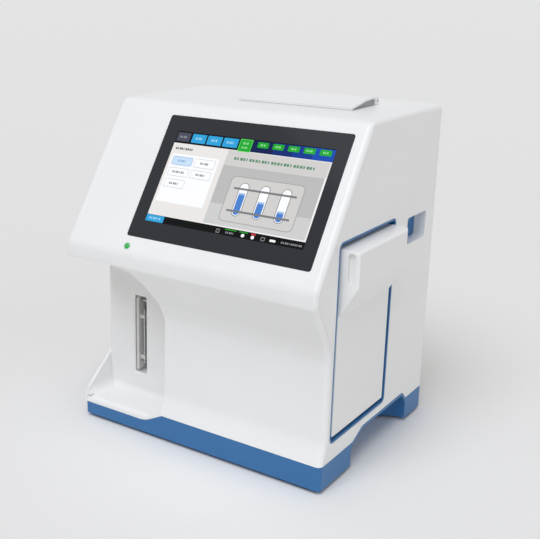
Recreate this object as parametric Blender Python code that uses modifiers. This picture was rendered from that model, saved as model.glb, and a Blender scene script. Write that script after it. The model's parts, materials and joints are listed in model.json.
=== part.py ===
"""Bench-top electrolyte analyzer with a pull-out reagent pack.

The housing frame has its origin in the middle of the base, at the lower edge
of the blue skirt: +X is the user's right, -Y the front and +Z up.  An empty
then carries everything, so that the world origin lies under the middle of the
whole unit, on the surface that its feet stand on.  All sizes are in metres.
"""

import math

import bmesh
import bpy
from mathutils import Matrix, Vector

# Housing
HOUSING_WIDTH = 0.288
BASE_DEPTH = 0.236
HOUSING_HEIGHT = 0.336
BAND_HEIGHT = 0.024
WALL = 0.003
EDGE_RADIUS = 0.005
SLOPE_ANGLE = math.radians(34.3)
BROW_HEIGHT_SHARE = 0.592
BROW_REACH = 0.023
BROW_FACE_HEIGHT = 0.015
UNDER_BROW_DROP = 0.050
FACE_RECESS = 0.0075
FLARE_HEIGHT = 0.020
REAR_TOP_RADIUS = 0.008
TOP_FRONT_RADIUS = 0.010
BROW_TOP_RADIUS = 0.014
BROW_BOTTOM_RADIUS = 0.008
UNDER_BROW_RADIUS = 0.045
FLARE_RADIUS = 0.025
SEAM_SETBACK = 0.0052

# Fits
FIT_GAP = 0.0003
SEAT_GAP = 0.0003
RUNNING_GAP = 0.0006
OVERRUN = 0.010
BITE = 0.001
ROUND_SHARE = 0.96
ROUND_OVERSHOOT_SHARE = 0.3
MERGE_DISTANCE = 0.00002

# Roundness of curved faces
ARC_STEP = math.radians(22.5)
COARSE_STEP = math.radians(45)
CREASE_ANGLE = math.radians(31.5)

# Sampling niche
NICHE_WIDTH = 0.1036
NICHE_DEPTH = 0.041
NICHE_FLOOR_Z = 0.020
NICHE_CEILING_FALL = 0.024
NICHE_ARCH_WIDTH = 0.036
NICHE_ARCH_HEIGHT = 0.048
NICHE_TOE_RADIUS = 0.012
NICHE_FILLET = 0.006
NICHE_LIP_BOTTOM_Z = 0.013
NICHE_LIP_SWEEP = 0.024
NICHE_LIP_ROUND = 0.0050
NICHE_LIP_ROUND_END = 0.0010
NICHE_EDGE_ROUND = 0.006
CHEEK_THICKNESS = 0.0032
CHEEK_ROUND = 0.0018
CHEEK_FILLET = 0.008
CHEEK_BACK_TOP_Z = 0.0576
CHEEK_FRONT_TOP_Z = 0.0250
LEFT_SEAM_SETBACK = 0.007
NICHE_SEAM_MARGIN = 0.006

# Sample slot and sampling lever
SLOT_INSET = 0.037
SLOT_WIDTH = 0.0155
SLOT_BOTTOM_Z = 0.0425
SLOT_HEADROOM = 0.0294
SLOT_RADIUS = 0.0015
SLOT_BEVEL = 0.0014
CHANNEL_WALL = 0.0015
CHANNEL_DEPTH = 0.028
CHANNEL_HEADROOM = 0.006
LEVER_THICKNESS = 0.003
LEVER_SIDE_GAP = 0.0017
LEVER_RECESS = 0.0015
LEVER_DEPTH = 0.010
LEVER_FOOT_GAP = 0.0035
LEVER_HEAD_GAP = 0.0010
LEVER_PIN_RADIUS = 0.0012
NEEDLE_RADIUS = 0.0009
NEEDLE_CARRIER = 0.004
NEEDLE_RECESS = 0.006
NEEDLE_FOOT_GAP = 0.006
NEEDLE_HEAD_GAP = 0.010
NEEDLE_CLIP_INSET = 0.006

# Touch screen
GLASS_MARGIN_LEFT = 0.0715
GLASS_MARGIN_RIGHT = 0.013
GLASS_MARGIN_TOP = 0.0145
GLASS_MARGIN_BOTTOM = 0.019
GLASS_THICKNESS = 0.0018
GLASS_RADIUS = 0.0025
GLASS_LEDGE = 0.005
DISPLAY_THICKNESS = 0.006
DISPLAY_MARGIN = 0.007
LED_INSET_X = 0.0055
LED_DROP = 0.011
LED_RADIUS = 0.0032
LED_STEM_RADIUS = 0.0026
LED_STEM_LENGTH = 0.006
LED_DOME = 0.0014

# Base tray
TRAY_FLOOR_THICKNESS = 0.003
TRAY_WALL = 0.003
ARCH_MARGIN_FRONT = 0.060
ARCH_MARGIN_REAR = 0.041
ARCH_TOP_Z = 0.0335
ARCH_FRONT_RUN = 0.026
ARCH_REAR_RUN = 0.012
ARCH_RADIUS = 0.010
ARCH_RIM = 0.0026
SCOOP_DEPTH = 0.034
SCOOP_SHARES = (1.0, 0.985, 0.93, 0.82, 0.62, 0.30)
FOOT_RADIUS = 0.010
FOOT_HEIGHT = 0.004
FOOT_TAPER = 0.001
FOOT_INSET_X = 0.022
FOOT_INSET_Y = 0.020

# Reagent bay, liner and pack
BAY_MARGIN_FRONT = 0.016
BAY_MARGIN_REAR = 0.101
BAY_BOTTOM_Z = 0.0415
BAY_ABOVE_BROW = 0.0366
BAY_RADIUS = 0.006
LINER_WALL = 0.002
LINER_BACK_GAP = 0.012
PACK_GAP_Y = 0.0026
PACK_GAP_BOTTOM = 0.0032
PACK_GAP_TOP = 0.0042
PACK_DEPTH_SHARE = 0.3264
PACK_WALL = 0.002
GRIP_REACH = 0.018
GRIP_FACE_HEIGHT = 0.034
GRIP_CHAMFER_HEIGHT = 0.030
GRIP_RADIUS = 0.0025
GRIP_TAIL_RADIUS = 0.011
GRIP_SLOT_WIDTH = 0.007
GRIP_SLOT_HEIGHT = 0.029
GRIP_SLOT_DEPTH = 0.003
GRIP_SLOT_INSET = 0.0045
RAIL_WIDTH = 0.004
RAIL_LENGTH = 0.070
RAIL_INSET_X = 0.014
RAIL_INSET_Y = 0.020
PORT_RADIUS = 0.0024
PORT_PITCH = 0.026
PORT_COUNT = 4
PORT_BLOCK_DEPTH = 0.010
PORT_BLOCK_WIDTH = 0.018
PORT_BLOCK_MARGIN = 0.012
PORT_DROP = 0.0085
SEPTUM_RADIUS = 0.006
SEPTUM_THICKNESS = 0.004
BAG_GAP = 0.0015
BAG_COUNT = 3
BAG_CROWN = 0.004
BAG_HEADROOM = 0.020

# Finger notch behind the pack
NOTCH_MARGIN_REAR = 0.026
NOTCH_LENGTH = 0.0465
NOTCH_DROP = 0.0069
NOTCH_HEIGHT = 0.0276
NOTCH_DEPTH = 0.0125
NOTCH_WALL = 0.0025
NOTCH_RADIUS = 0.0025
NOTCH_BACK_THICKNESS = 0.002

# Printer lid
LID_MARGIN_RIGHT = 0.0475
LID_WIDTH = 0.130
LID_MARGIN_REAR = 0.053
LID_LENGTH = 0.0595
LID_HEIGHT = 0.0085
LID_FRONT_THICKNESS = 0.0022
LID_WALL = 0.0018
LID_CREST_SHARE = 0.62
LID_CREST_RADIUS = 0.060
LID_HINGE_RADIUS = 0.0034
LID_PIN_RADIUS = 0.0012
LUG_WIDTH = 0.005
LUG_INSET = 0.014
LUG_GAP = 0.0005
LID_LINER_INSET = 0.0015

# Printer under the lid
WELL_INSET_SIDE = 0.0195
WELL_INSET_FRONT = 0.005
WELL_INSET_REAR = 0.0105
WELL_RADIUS = 0.002
BUCKET_WALL = 0.0016
BUCKET_DEPTH = 0.040
BUCKET_FLANGE = 0.005
BUCKET_FLANGE_THICKNESS = 0.002
ROLL_RADIUS = 0.0150
ROLL_INSET_Y = 0.024
ROLL_DEPTH = 0.0225
ROLL_END_GAP = 0.006
SPINDLE_RADIUS = 0.0055
SPINDLE_END_RADIUS = 0.002
PLATEN_RADIUS = 0.0035
PLATEN_SHAFT_RADIUS = 0.0015
PLATEN_INSET_Y = 0.0063
PLATEN_DEPTH = 0.0045
HEAD_HEIGHT = 0.016
HEAD_LEAD = 0.003

# Rear panel and what is on it
REAR_OPENING_MARGIN_X = 0.012
REAR_OPENING_BOTTOM_Z = 0.038
REAR_OPENING_MARGIN_TOP = 0.018
REAR_OPENING_RADIUS = 0.006
REAR_FLANGE = 0.005
REAR_FLANGE_THICKNESS = 0.0022
FAN_INSET_X = 0.074
FAN_INSET_Z = 0.101
FAN_SIZE = 0.060
FAN_THICKNESS = 0.015
FAN_BORE_RADIUS = 0.0275
FAN_HUB_RADIUS = 0.0125
FAN_BLADES = 7
FAN_BLADE_THICKNESS = 0.0012
FAN_BLADE_PITCH = math.radians(38)
FAN_CHORD_SHARE = 0.95
FAN_SPOKE_WIDTH = 0.003
FAN_SPOKE_THICKNESS = 0.002
GRILLE_SLOT_HEIGHT = 0.0035
GRILLE_PITCH = 0.0075
GRILLE_SLOTS = 7
INLET_INSET_X = 0.056
INLET_Z = 0.070
INLET_WIDTH = 0.0270
INLET_HEIGHT = 0.0198
INLET_BODY_DEPTH = 0.022
INLET_FLANGE = 0.0025
INLET_FLANGE_THICKNESS = 0.002
INLET_CAVITY_INSET = 0.0025
INLET_CAVITY_DEPTH = 0.016
INLET_PIN_LENGTH = 0.011
INLET_PIN_WIDTH = 0.004
INLET_PIN_THICKNESS = 0.002
INLET_PIN_SPREAD = 0.007
ROCKER_INSET_X = 0.094
ROCKER_Z = 0.070
ROCKER_WIDTH = 0.013
ROCKER_HEIGHT = 0.019
ROCKER_FRAME = 0.0025
ROCKER_FRAME_DEPTH = 0.014
ROCKER_FLANGE = 0.0012
ROCKER_TILT = math.radians(7)
ROCKER_PIVOT_DEPTH = 0.004
ROCKER_STUB_RADIUS = 0.001
ROCKER_END_GAP = 0.0011
ROCKER_CROWN = 0.0008
ROCKER_BACK = 0.003
JACK_Z = 0.070
JACK_GAP = 0.0004
USB_INSET_X = 0.084
USB_WIDTH = 0.0145
USB_HEIGHT = 0.0155
LAN_INSET_X = 0.114
LAN_WIDTH = 0.016
LAN_HEIGHT = 0.0135
JACK_DEPTH = 0.016
JACK_WALL = 0.001
JACK_PROUD = 0.0008
JACK_TONGUE = 0.0022
USB_TONGUE_SHARES = (0.25, 0.75)
LAN_TONGUE_SHARES = (0.86,)

# Inner frame and what it carries
CHASSIS_THICKNESS = 0.002
CHASSIS_MARGIN_LEFT = 0.042
CHASSIS_LINER_GAP = 0.008
CHASSIS_DEPTH = 0.073
CHASSIS_MARGIN_REAR = 0.010
CHASSIS_HEIGHT = 0.225
CHASSIS_BEND = 0.003
BOARD_MARGIN_LEFT = 0.004
BOARD_MARGIN_RIGHT = 0.010
BOARD_BOTTOM_Z = 0.102
BOARD_TOP_Z = 0.200
BOARD_THICKNESS = 0.0016
BOARD_STANDOFF = 0.008
BOARD_POST_RADIUS = 0.003
BOARD_POST_INSET = 0.006
BOARD_CHIP_SHARES = (
    (0.30, 0.42, 0.16, 0.18, 0.30),
    (0.56, 0.46, 0.12, 0.10, 0.20),
    (0.16, 0.12, 0.30, 0.08, 0.90),
    (0.62, 0.12, 0.22, 0.08, 0.90),
    (0.14, 0.74, 0.10, 0.12, 1.00),
)
SUPPLY_MARGIN_LEFT = 0.002
SUPPLY_MARGIN_RIGHT = 0.036
SUPPLY_DEPTH = 0.050
SUPPLY_HEIGHT = 0.034
SUPPLY_WALL = 0.0012
SUPPLY_BACK_GAP = 0.012
SUPPLY_SLOT_WIDTH = 0.003
SUPPLY_SLOTS = 8
PUMP_INSET_X = 0.025
PUMP_Z = 0.076
PUMP_RADIUS = 0.022
PUMP_DEPTH = 0.018
PUMP_WALL = 0.003
PUMP_MOTOR_RADIUS = 0.0145
PUMP_MOTOR_LENGTH = 0.026
PUMP_SHAFT_RADIUS = 0.002
PUMP_ROLLER_RADIUS = 0.0038
PUMP_ROLLER_ORBIT = 0.0108
PUMP_ROLLERS = 3
PUMP_PIN_RADIUS = 0.0012
PUMP_TUBE_RADIUS = 0.0016
PUMP_ROTOR_THICKNESS = 0.0025
PUMP_TUBE_TAIL = 0.006
PUMP_TUBE_STEPS = 12
ELECTRODE_COUNT = 6
ELECTRODE_PITCH = 0.0125
ELECTRODE_THICKNESS = 0.0115
ELECTRODE_INSET_X = 0.010
ELECTRODE_BOTTOM_Z = 0.135
ELECTRODE_HEIGHT = 0.024
ELECTRODE_DEPTH = 0.026
ELECTRODE_NOSE_RADIUS = 0.008
HOLDER_SHELF = 0.004
HOLDER_CHEEK = 0.005
HOLDER_BACK = 0.004
VALVE_COUNT = 2
VALVE_PITCH = 0.019
VALVE_INSET_X = 0.068
VALVE_Z = 0.090
VALVE_RADIUS = 0.007
VALVE_LENGTH = 0.024
VALVE_BLOCK_DEPTH = 0.014
VALVE_BLOCK_HEIGHT = 0.026
VALVE_BLOCK_MARGIN = 0.006

# Places that follow from the sizes above

HALF_WIDTH = HOUSING_WIDTH / 2
FRONT_Y = -BASE_DEPTH / 2
REAR_Y = BASE_DEPTH / 2
BROW_Y = FRONT_Y - BROW_REACH
BROW_TOP_Z = HOUSING_HEIGHT * BROW_HEIGHT_SHARE
BROW_BOTTOM_Z = BROW_TOP_Z - BROW_FACE_HEIGHT
TOP_FRONT_Y = BROW_Y + (HOUSING_HEIGHT - BROW_TOP_Z) * math.tan(SLOPE_ANGLE)
SLOPE_LENGTH = (HOUSING_HEIGHT - BROW_TOP_Z) / math.cos(SLOPE_ANGLE)
FACE_Y = FRONT_Y + FACE_RECESS
FACE_TOP_Z = BROW_BOTTOM_Z - UNDER_BROW_DROP
FLARE_Z = BAND_HEIGHT + FLARE_HEIGHT
COVER_BOTTOM_Z = BAND_HEIGHT + FIT_GAP

NICHE_RIGHT_X = -HALF_WIDTH + NICHE_WIDTH
NICHE_WALL_Y = FRONT_Y + NICHE_DEPTH
SLOT_LEFT_X = -HALF_WIDTH + SLOT_INSET
SLOT_RIGHT_X = SLOT_LEFT_X + SLOT_WIDTH
SLOT_TOP_Z = BROW_BOTTOM_Z - NICHE_CEILING_FALL - SLOT_HEADROOM
LEVER_LEFT_X = SLOT_LEFT_X + LEVER_SIDE_GAP
LEVER_RIGHT_X = LEVER_LEFT_X + LEVER_THICKNESS
LEVER_FRONT_Y = NICHE_WALL_Y + LEVER_RECESS
LEVER_TOP_Z = SLOT_TOP_Z - LEVER_HEAD_GAP
LEVER_PIVOT_Y = LEVER_FRONT_Y + LEVER_DEPTH / 2
LEVER_PIVOT_Z = LEVER_TOP_Z - LEVER_DEPTH / 2

GLASS_LEFT_X = -HALF_WIDTH + GLASS_MARGIN_LEFT
GLASS_RIGHT_X = HALF_WIDTH - GLASS_MARGIN_RIGHT
GLASS_TOP_S = GLASS_MARGIN_TOP
GLASS_BOTTOM_S = SLOPE_LENGTH - GLASS_MARGIN_BOTTOM
LED_X = GLASS_LEFT_X + LED_INSET_X
LED_S = GLASS_BOTTOM_S + LED_DROP

ARCH_FRONT_Y = FRONT_Y + ARCH_MARGIN_FRONT
ARCH_REAR_Y = REAR_Y - ARCH_MARGIN_REAR

BAY_FRONT_Y = FRONT_Y + BAY_MARGIN_FRONT
BAY_REAR_Y = REAR_Y - BAY_MARGIN_REAR
BAY_MIDDLE_Y = (BAY_FRONT_Y + BAY_REAR_Y) / 2
BAY_TOP_Z = BROW_TOP_Z + BAY_ABOVE_BROW
PACK_FACE_X = HALF_WIDTH
PACK_BACK_X = PACK_FACE_X - HOUSING_WIDTH * PACK_DEPTH_SHARE
LINER_BACK_X = PACK_BACK_X - LINER_BACK_GAP
PACK_FRONT_Y = BAY_FRONT_Y + LINER_WALL + PACK_GAP_Y
PACK_REAR_Y = BAY_REAR_Y - LINER_WALL - PACK_GAP_Y
PACK_BOTTOM_Z = BAY_BOTTOM_Z + LINER_WALL + PACK_GAP_BOTTOM
PACK_TOP_Z = BAY_TOP_Z - LINER_WALL - PACK_GAP_TOP
GRIP_X = PACK_FACE_X + GRIP_REACH
PORT_Z = (BAY_BOTTOM_Z + BAY_TOP_Z) / 2 - PORT_DROP

NOTCH_REAR_Y = REAR_Y - NOTCH_MARGIN_REAR
NOTCH_FRONT_Y = NOTCH_REAR_Y - NOTCH_LENGTH
NOTCH_TOP_Z = BAY_TOP_Z - NOTCH_DROP
NOTCH_BOTTOM_Z = NOTCH_TOP_Z - NOTCH_HEIGHT

LID_RIGHT_X = HALF_WIDTH - LID_MARGIN_RIGHT
LID_LEFT_X = LID_RIGHT_X - LID_WIDTH
LID_REAR_Y = REAR_Y - LID_MARGIN_REAR
LID_FRONT_Y = LID_REAR_Y - LID_LENGTH
LID_BASE_Z = HOUSING_HEIGHT + SEAT_GAP
HINGE_Y = LID_REAR_Y - LID_HINGE_RADIUS
HINGE_Z = LID_BASE_Z + LID_HINGE_RADIUS
WELL_LEFT_X = LID_LEFT_X + WELL_INSET_SIDE
WELL_RIGHT_X = LID_RIGHT_X - WELL_INSET_SIDE
WELL_MIDDLE_X = (WELL_LEFT_X + WELL_RIGHT_X) / 2
WELL_FRONT_Y = LID_FRONT_Y + WELL_INSET_FRONT
WELL_REAR_Y = LID_REAR_Y - WELL_INSET_REAR
SKIN_Z = HOUSING_HEIGHT - WALL
ROLL_Y = WELL_FRONT_Y + ROLL_INSET_Y
ROLL_Z = HOUSING_HEIGHT - ROLL_DEPTH
ROLL_WIDTH = WELL_RIGHT_X - WELL_LEFT_X - ROLL_END_GAP * 2
PLATEN_Y = WELL_FRONT_Y + PLATEN_INSET_Y
PLATEN_Z = HOUSING_HEIGHT - PLATEN_DEPTH

REAR_OPENING_TOP_Z = HOUSING_HEIGHT - REAR_OPENING_MARGIN_TOP
PANEL_SEAT_Y = REAR_Y - WALL - SEAT_GAP
PANEL_INNER_Y = PANEL_SEAT_Y - REAR_FLANGE_THICKNESS
FAN_X = -HALF_WIDTH + FAN_INSET_X
FAN_Z = HOUSING_HEIGHT - FAN_INSET_Z
INLET_X = HALF_WIDTH - INLET_INSET_X
ROCKER_X = HALF_WIDTH - ROCKER_INSET_X
USB_X = -HALF_WIDTH + USB_INSET_X
LAN_X = -HALF_WIDTH + LAN_INSET_X

CHASSIS_LEFT_X = -HALF_WIDTH + CHASSIS_MARGIN_LEFT
CHASSIS_RIGHT_X = LINER_BACK_X - CHASSIS_LINER_GAP
CHASSIS_REAR_Y = REAR_Y - CHASSIS_MARGIN_REAR
CHASSIS_WALL_Y = CHASSIS_REAR_Y - CHASSIS_DEPTH
CHASSIS_FOOT_Z = TRAY_FLOOR_THICKNESS + SEAT_GAP
WALL_BACK_Y = CHASSIS_WALL_Y + CHASSIS_THICKNESS
BENCH_Y = CHASSIS_WALL_Y - SEAT_GAP
BOARD_LEFT_X = CHASSIS_LEFT_X + BOARD_MARGIN_LEFT
BOARD_RIGHT_X = CHASSIS_RIGHT_X - BOARD_MARGIN_RIGHT
SUPPLY_LEFT_X = CHASSIS_LEFT_X + SUPPLY_MARGIN_LEFT
SUPPLY_RIGHT_X = CHASSIS_RIGHT_X - SUPPLY_MARGIN_RIGHT
PUMP_X = CHASSIS_LEFT_X + PUMP_INSET_X
ELECTRODE_LEFT_X = CHASSIS_LEFT_X + ELECTRODE_INSET_X
VALVE_LEFT_X = CHASSIS_LEFT_X + VALVE_INSET_X

# Pieces and materials

COLLECTION_NAME = "electrolyte_analyzer"
CUTTER_COLLECTION_NAME = "cutters"
ORIGIN_NAME = "analyzer_origin"

MATERIALS = {
    "white_abs": ((0.80, 0.81, 0.82), 0.35, 0.0),
    "blue_abs": ((0.035, 0.165, 0.38), 0.38, 0.0),
    "grey_abs": ((0.30, 0.31, 0.32), 0.45, 0.0),
    "black_plastic": ((0.02, 0.02, 0.022), 0.45, 0.0),
    "screen_glass": ((0.025, 0.03, 0.036), 0.10, 0.0),
    "green_lens": ((0.05, 0.55, 0.10), 0.20, 0.0),
    "rubber": ((0.03, 0.03, 0.03), 0.80, 0.0),
    "steel": ((0.55, 0.56, 0.57), 0.30, 1.0),
    "sheet_steel": ((0.50, 0.51, 0.52), 0.42, 1.0),
    "paper": ((0.85, 0.85, 0.83), 0.85, 0.0),
    "clear_acrylic": ((0.72, 0.78, 0.80), 0.12, 0.0),
    "circuit_board": ((0.02, 0.20, 0.07), 0.50, 0.0),
    "silicone": ((0.70, 0.70, 0.66), 0.55, 0.0),
    "bag_film": ((0.62, 0.66, 0.70), 0.30, 0.0),
}


def clear_scene():
    """Remove every object that the new file starts with."""
    for obj in list(bpy.data.objects):
        bpy.data.objects.remove(obj, do_unlink=True)


def make_material(name):
    """A Principled material with the colour and finish in the table."""
    if name in bpy.data.materials:
        return bpy.data.materials[name]
    colour, roughness, metallic = MATERIALS[name]
    material = bpy.data.materials.new(name)
    material.use_nodes = True
    shader = material.node_tree.nodes["Principled BSDF"]
    shader.inputs["Base Color"].default_value = (*colour, 1.0)
    shader.inputs["Roughness"].default_value = roughness
    shader.inputs["Metallic"].default_value = metallic
    material.diffuse_color = (*colour, 1.0)
    return material


def collection(name):
    """The named collection, linked to the scene."""
    if name not in bpy.data.collections:
        bpy.context.scene.collection.children.link(bpy.data.collections.new(name))
    return bpy.data.collections[name]


def frame_empty():
    """The empty that carries the unit, and sets where its origin lies."""
    if ORIGIN_NAME not in bpy.data.objects:
        empty = bpy.data.objects.new(ORIGIN_NAME, None)
        shift_x = -GRIP_REACH / 2
        shift_y = -(REAR_Y + SEAT_GAP + INLET_FLANGE_THICKNESS + BROW_Y) / 2
        empty.location = (shift_x, shift_y, FOOT_HEIGHT)
        collection(COLLECTION_NAME).objects.link(empty)
    return bpy.data.objects[ORIGIN_NAME]


def add_object(name, bm, material=None):
    """A new object from a bmesh: a part with a material, or else a cutter."""
    mesh = bpy.data.meshes.new(name)
    bm.to_mesh(mesh)
    bm.free()
    obj = bpy.data.objects.new(name, mesh)
    obj.parent = frame_empty()
    if material is None:
        collection(CUTTER_COLLECTION_NAME).objects.link(obj)
        obj.hide_render = True
        obj.display_type = "WIRE"
    else:
        collection(COLLECTION_NAME).objects.link(obj)
        mesh.materials.append(make_material(material))
    return obj


def smooth(obj, angle=CREASE_ANGLE):
    """Shade round faces smooth and keep edges sharper than the angle crisp."""
    obj.data.shade_smooth()
    obj.data.set_sharp_from_angle(angle=angle)
    return obj


# Outlines: lists of corners (u, v, radius), counter-clockwise


def corner_arc(before, corner, after, radius, step):
    """The points that round one corner of an outline."""
    if radius <= 0:
        return [corner]
    to_before = (before - corner).normalized()
    to_after = (after - corner).normalized()
    half = to_before.angle(to_after) / 2
    centre = corner + (to_before + to_after).normalized() * radius / math.sin(half)
    start = corner + to_before * radius / math.tan(half) - centre
    end = corner + to_after * radius / math.tan(half) - centre
    turn = math.pi - 2 * half
    way = 1 if start.x * end.y - start.y * end.x > 0 else -1
    steps = max(1, math.ceil(turn / step))
    return [
        centre + Matrix.Rotation(way * turn * i / steps, 2) @ start
        for i in range(steps + 1)
    ]


def rounded(corners, step=ARC_STEP):
    """An outline's points, with each corner rounded to its radius."""
    points = []
    for i, (u, v, radius) in enumerate(corners):
        before = Vector(corners[i - 1][:2])
        after = Vector(corners[(i + 1) % len(corners)][:2])
        points += corner_arc(before, Vector((u, v)), after, radius, step)
    return points


def inset(corners, distance):
    """The outline moved inwards, with its radii following."""
    moved = []
    for i, (u, v, radius) in enumerate(corners):
        corner = Vector((u, v))
        back = (corner - Vector(corners[i - 1][:2])).normalized()
        ahead = (Vector(corners[(i + 1) % len(corners)][:2]) - corner).normalized()
        left_back = Vector((-back.y, back.x))
        left_ahead = Vector((-ahead.y, ahead.x))
        mitre = (left_back + left_ahead).normalized()
        point = corner + mitre * distance / mitre.dot(left_ahead)
        convex = back.x * ahead.y - back.y * ahead.x > 0
        grown = radius + (-distance if convex else distance)
        moved.append((point.x, point.y, max(grown, 0) if radius > 0 else 0))
    return moved


def rectangle(u_low, v_low, u_high, v_high, radius=0):
    """The corners of a rectangle with one corner radius."""
    return [
        (u_low, v_low, radius),
        (u_high, v_low, radius),
        (u_high, v_high, radius),
        (u_low, v_high, radius),
    ]


def place(axis, height, u, v):
    """A point at a height along an axis, from its two outline coordinates."""
    if axis == "X":
        return Vector((height, u, v))
    if axis == "Y":
        return Vector((u, height, v))
    return Vector((u, v, height))


def prism(points, axis, low, high):
    """An outline drawn out along an axis, as a bmesh."""
    bm = bmesh.new()
    face = bm.faces.new([bm.verts.new(place(axis, low, u, v)) for u, v in points])
    grown = bmesh.ops.extrude_face_region(bm, geom=[face])
    verts = [item for item in grown["geom"] if isinstance(item, bmesh.types.BMVert)]
    bmesh.ops.translate(bm, verts=verts, vec=place(axis, high - low, 0, 0))
    bmesh.ops.recalc_face_normals(bm, faces=bm.faces)
    return bm


def loft(sections):
    """A closed body through a row of outlines with equal numbers of points."""
    bm = bmesh.new()
    loops = []
    for section in sections:
        verts = [bm.verts.new(point) for point in section]
        loops.append([bm.edges.new((verts[i - 1], verts[i])) for i in range(len(verts))])
    for one, other in zip(loops, loops[1:]):
        bmesh.ops.bridge_loops(bm, edges=one + other)
    bmesh.ops.contextual_create(bm, geom=loops[0])
    bmesh.ops.contextual_create(bm, geom=loops[-1])
    bmesh.ops.recalc_face_normals(bm, faces=bm.faces)
    return bm


def block(low, high, radius=0, segments=2):
    """A box between two corners, with its edges rounded if a radius is given."""
    bm = bmesh.new()
    bmesh.ops.create_cube(bm, size=1)
    low, high = Vector(low), Vector(high)
    bmesh.ops.scale(bm, verts=bm.verts, vec=high - low)
    bmesh.ops.translate(bm, verts=bm.verts, vec=(low + high) / 2)
    if radius > 0:
        bevel(bm, bm.edges, radius, segments)
    return bm


def bevel(bm, edges, radius, segments=2):
    """Round the given edges of a bmesh."""
    bmesh.ops.bevel(
        bm,
        geom=list(edges),
        offset=radius,
        segments=segments,
        profile=0.5,
        affect="EDGES",
        clamp_overlap=True,
    )
    return bm


def rod(centre, axis, radius, length, segments=16, end_radius=None):
    """A cylinder or cone that starts at a point and runs along an axis."""
    bm = bmesh.new()
    bmesh.ops.create_cone(
        bm,
        cap_ends=True,
        segments=segments,
        radius1=radius,
        radius2=radius if end_radius is None else end_radius,
        depth=length,
    )
    bmesh.ops.translate(bm, verts=bm.verts, vec=(0, 0, length / 2))
    turn = Vector((0, 0, 1)).rotation_difference(place(axis, 1, 0, 0)).to_matrix()
    bmesh.ops.rotate(bm, verts=bm.verts, matrix=turn)
    bmesh.ops.translate(bm, verts=bm.verts, vec=centre)
    return bm


def modify(obj, other, operation):
    """Cut, join or keep: a Boolean with a cutter that stays in the file."""
    modifier = obj.modifiers.new(other.name, "BOOLEAN")
    modifier.object = other
    modifier.operation = operation
    modifier.solver = "EXACT"
    return obj


def cut(obj, bm, name):
    """Take a shape away from an object."""
    return modify(obj, add_object(f"{name}_cutter", bm), "DIFFERENCE")


def join(obj, bm, name):
    """Join a shape to an object."""
    return modify(obj, add_object(f"{name}_blank", bm), "UNION")


def keep(obj, bm, name):
    """Keep only what lies inside a shape."""
    return modify(obj, add_object(f"{name}_region", bm), "INTERSECT")


def pivot(name, point, members):
    """An empty on a joint's axis that carries the pieces that move with it."""
    empty = bpy.data.objects.new(name, None)
    empty.parent = frame_empty()
    empty.location = point
    collection(COLLECTION_NAME).objects.link(empty)
    for member in members:
        member.parent = empty
        member.location = -Vector(point)
    return empty


# Housing forms


def housing_corners():
    """The side view of the white housing, from the rear foot anticlockwise."""
    return [
        (REAR_Y, COVER_BOTTOM_Z, 0),
        (REAR_Y, HOUSING_HEIGHT, REAR_TOP_RADIUS),
        (TOP_FRONT_Y, HOUSING_HEIGHT, TOP_FRONT_RADIUS),
        (BROW_Y, BROW_TOP_Z, BROW_TOP_RADIUS),
        (BROW_Y, BROW_BOTTOM_Z, BROW_BOTTOM_RADIUS),
        (FACE_Y, FACE_TOP_Z, UNDER_BROW_RADIUS),
        (FACE_Y, FLARE_Z, FLARE_RADIUS),
        (FRONT_Y, COVER_BOTTOM_Z, 0),
    ]


def housing_form(distance=0):
    """The whole white housing as one body, drawn in by a wall thickness."""
    corners = housing_corners()
    if distance > 0:
        corners = inset(corners, distance)
        corners[0] = (corners[0][0], COVER_BOTTOM_Z - BAND_HEIGHT, 0)
        corners[-1] = (corners[-1][0], COVER_BOTTOM_Z - BAND_HEIGHT, 0)
    half = HALF_WIDTH - distance
    bottom = corners[0][1]
    bm = prism(rounded(corners), "X", -half, half)
    tolerance = FIT_GAP
    rims = [
        edge
        for edge in bm.edges
        if abs(edge.verts[0].co.x - edge.verts[1].co.x) < tolerance
        and max(vert.co.z for vert in edge.verts) > bottom + tolerance
    ]
    return bevel(bm, rims, EDGE_RADIUS - distance, segments=3 if distance == 0 else 1)


def niche_form(grow=0):
    """The sampling niche, open to the left and front, larger by a wall if asked."""
    front_top = BROW_BOTTOM_Z + grow
    floor = NICHE_FLOOR_Z - grow
    right = NICHE_RIGHT_X + grow
    left = -HALF_WIDTH - OVERRUN
    back = NICHE_WALL_Y + grow
    front = BROW_Y - OVERRUN
    fall = NICHE_CEILING_FALL / (NICHE_WALL_Y - BROW_Y)
    arch_centre = (right - NICHE_ARCH_WIDTH, front_top - NICHE_ARCH_HEIGHT)
    steps = math.ceil(math.pi / 2 / ARC_STEP)
    before, corner = Vector((left, floor)), Vector((right, floor))
    toe = corner_arc(before, corner, Vector((right, front_top)), NICHE_TOE_RADIUS, ARC_STEP)
    outline = [(left, floor)] + [tuple(point) for point in toe]
    for i in range(steps + 1):
        angle = math.pi / 2 * i / steps
        outline.append((
            arch_centre[0] + NICHE_ARCH_WIDTH * math.cos(angle),
            arch_centre[1] + NICHE_ARCH_HEIGHT * math.sin(angle),
        ))
    outline.append((left, front_top))
    bm = prism(outline, "Y", front, back)
    height = front_top - floor
    for vert in bm.verts:
        drop = fall * (vert.co.y - BROW_Y)
        vert.co.z -= drop * (vert.co.z - floor) / height
    if grow == 0:
        back_edges = [
            edge
            for edge in bm.edges
            if min(vert.co.y for vert in edge.verts) > back - FIT_GAP
            and max(vert.co.x for vert in edge.verts) > left + FIT_GAP
        ]
        bevel(bm, back_edges, NICHE_FILLET, segments=3)
    bmesh.ops.triangulate(bm, faces=bm.faces)
    return bm


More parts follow.
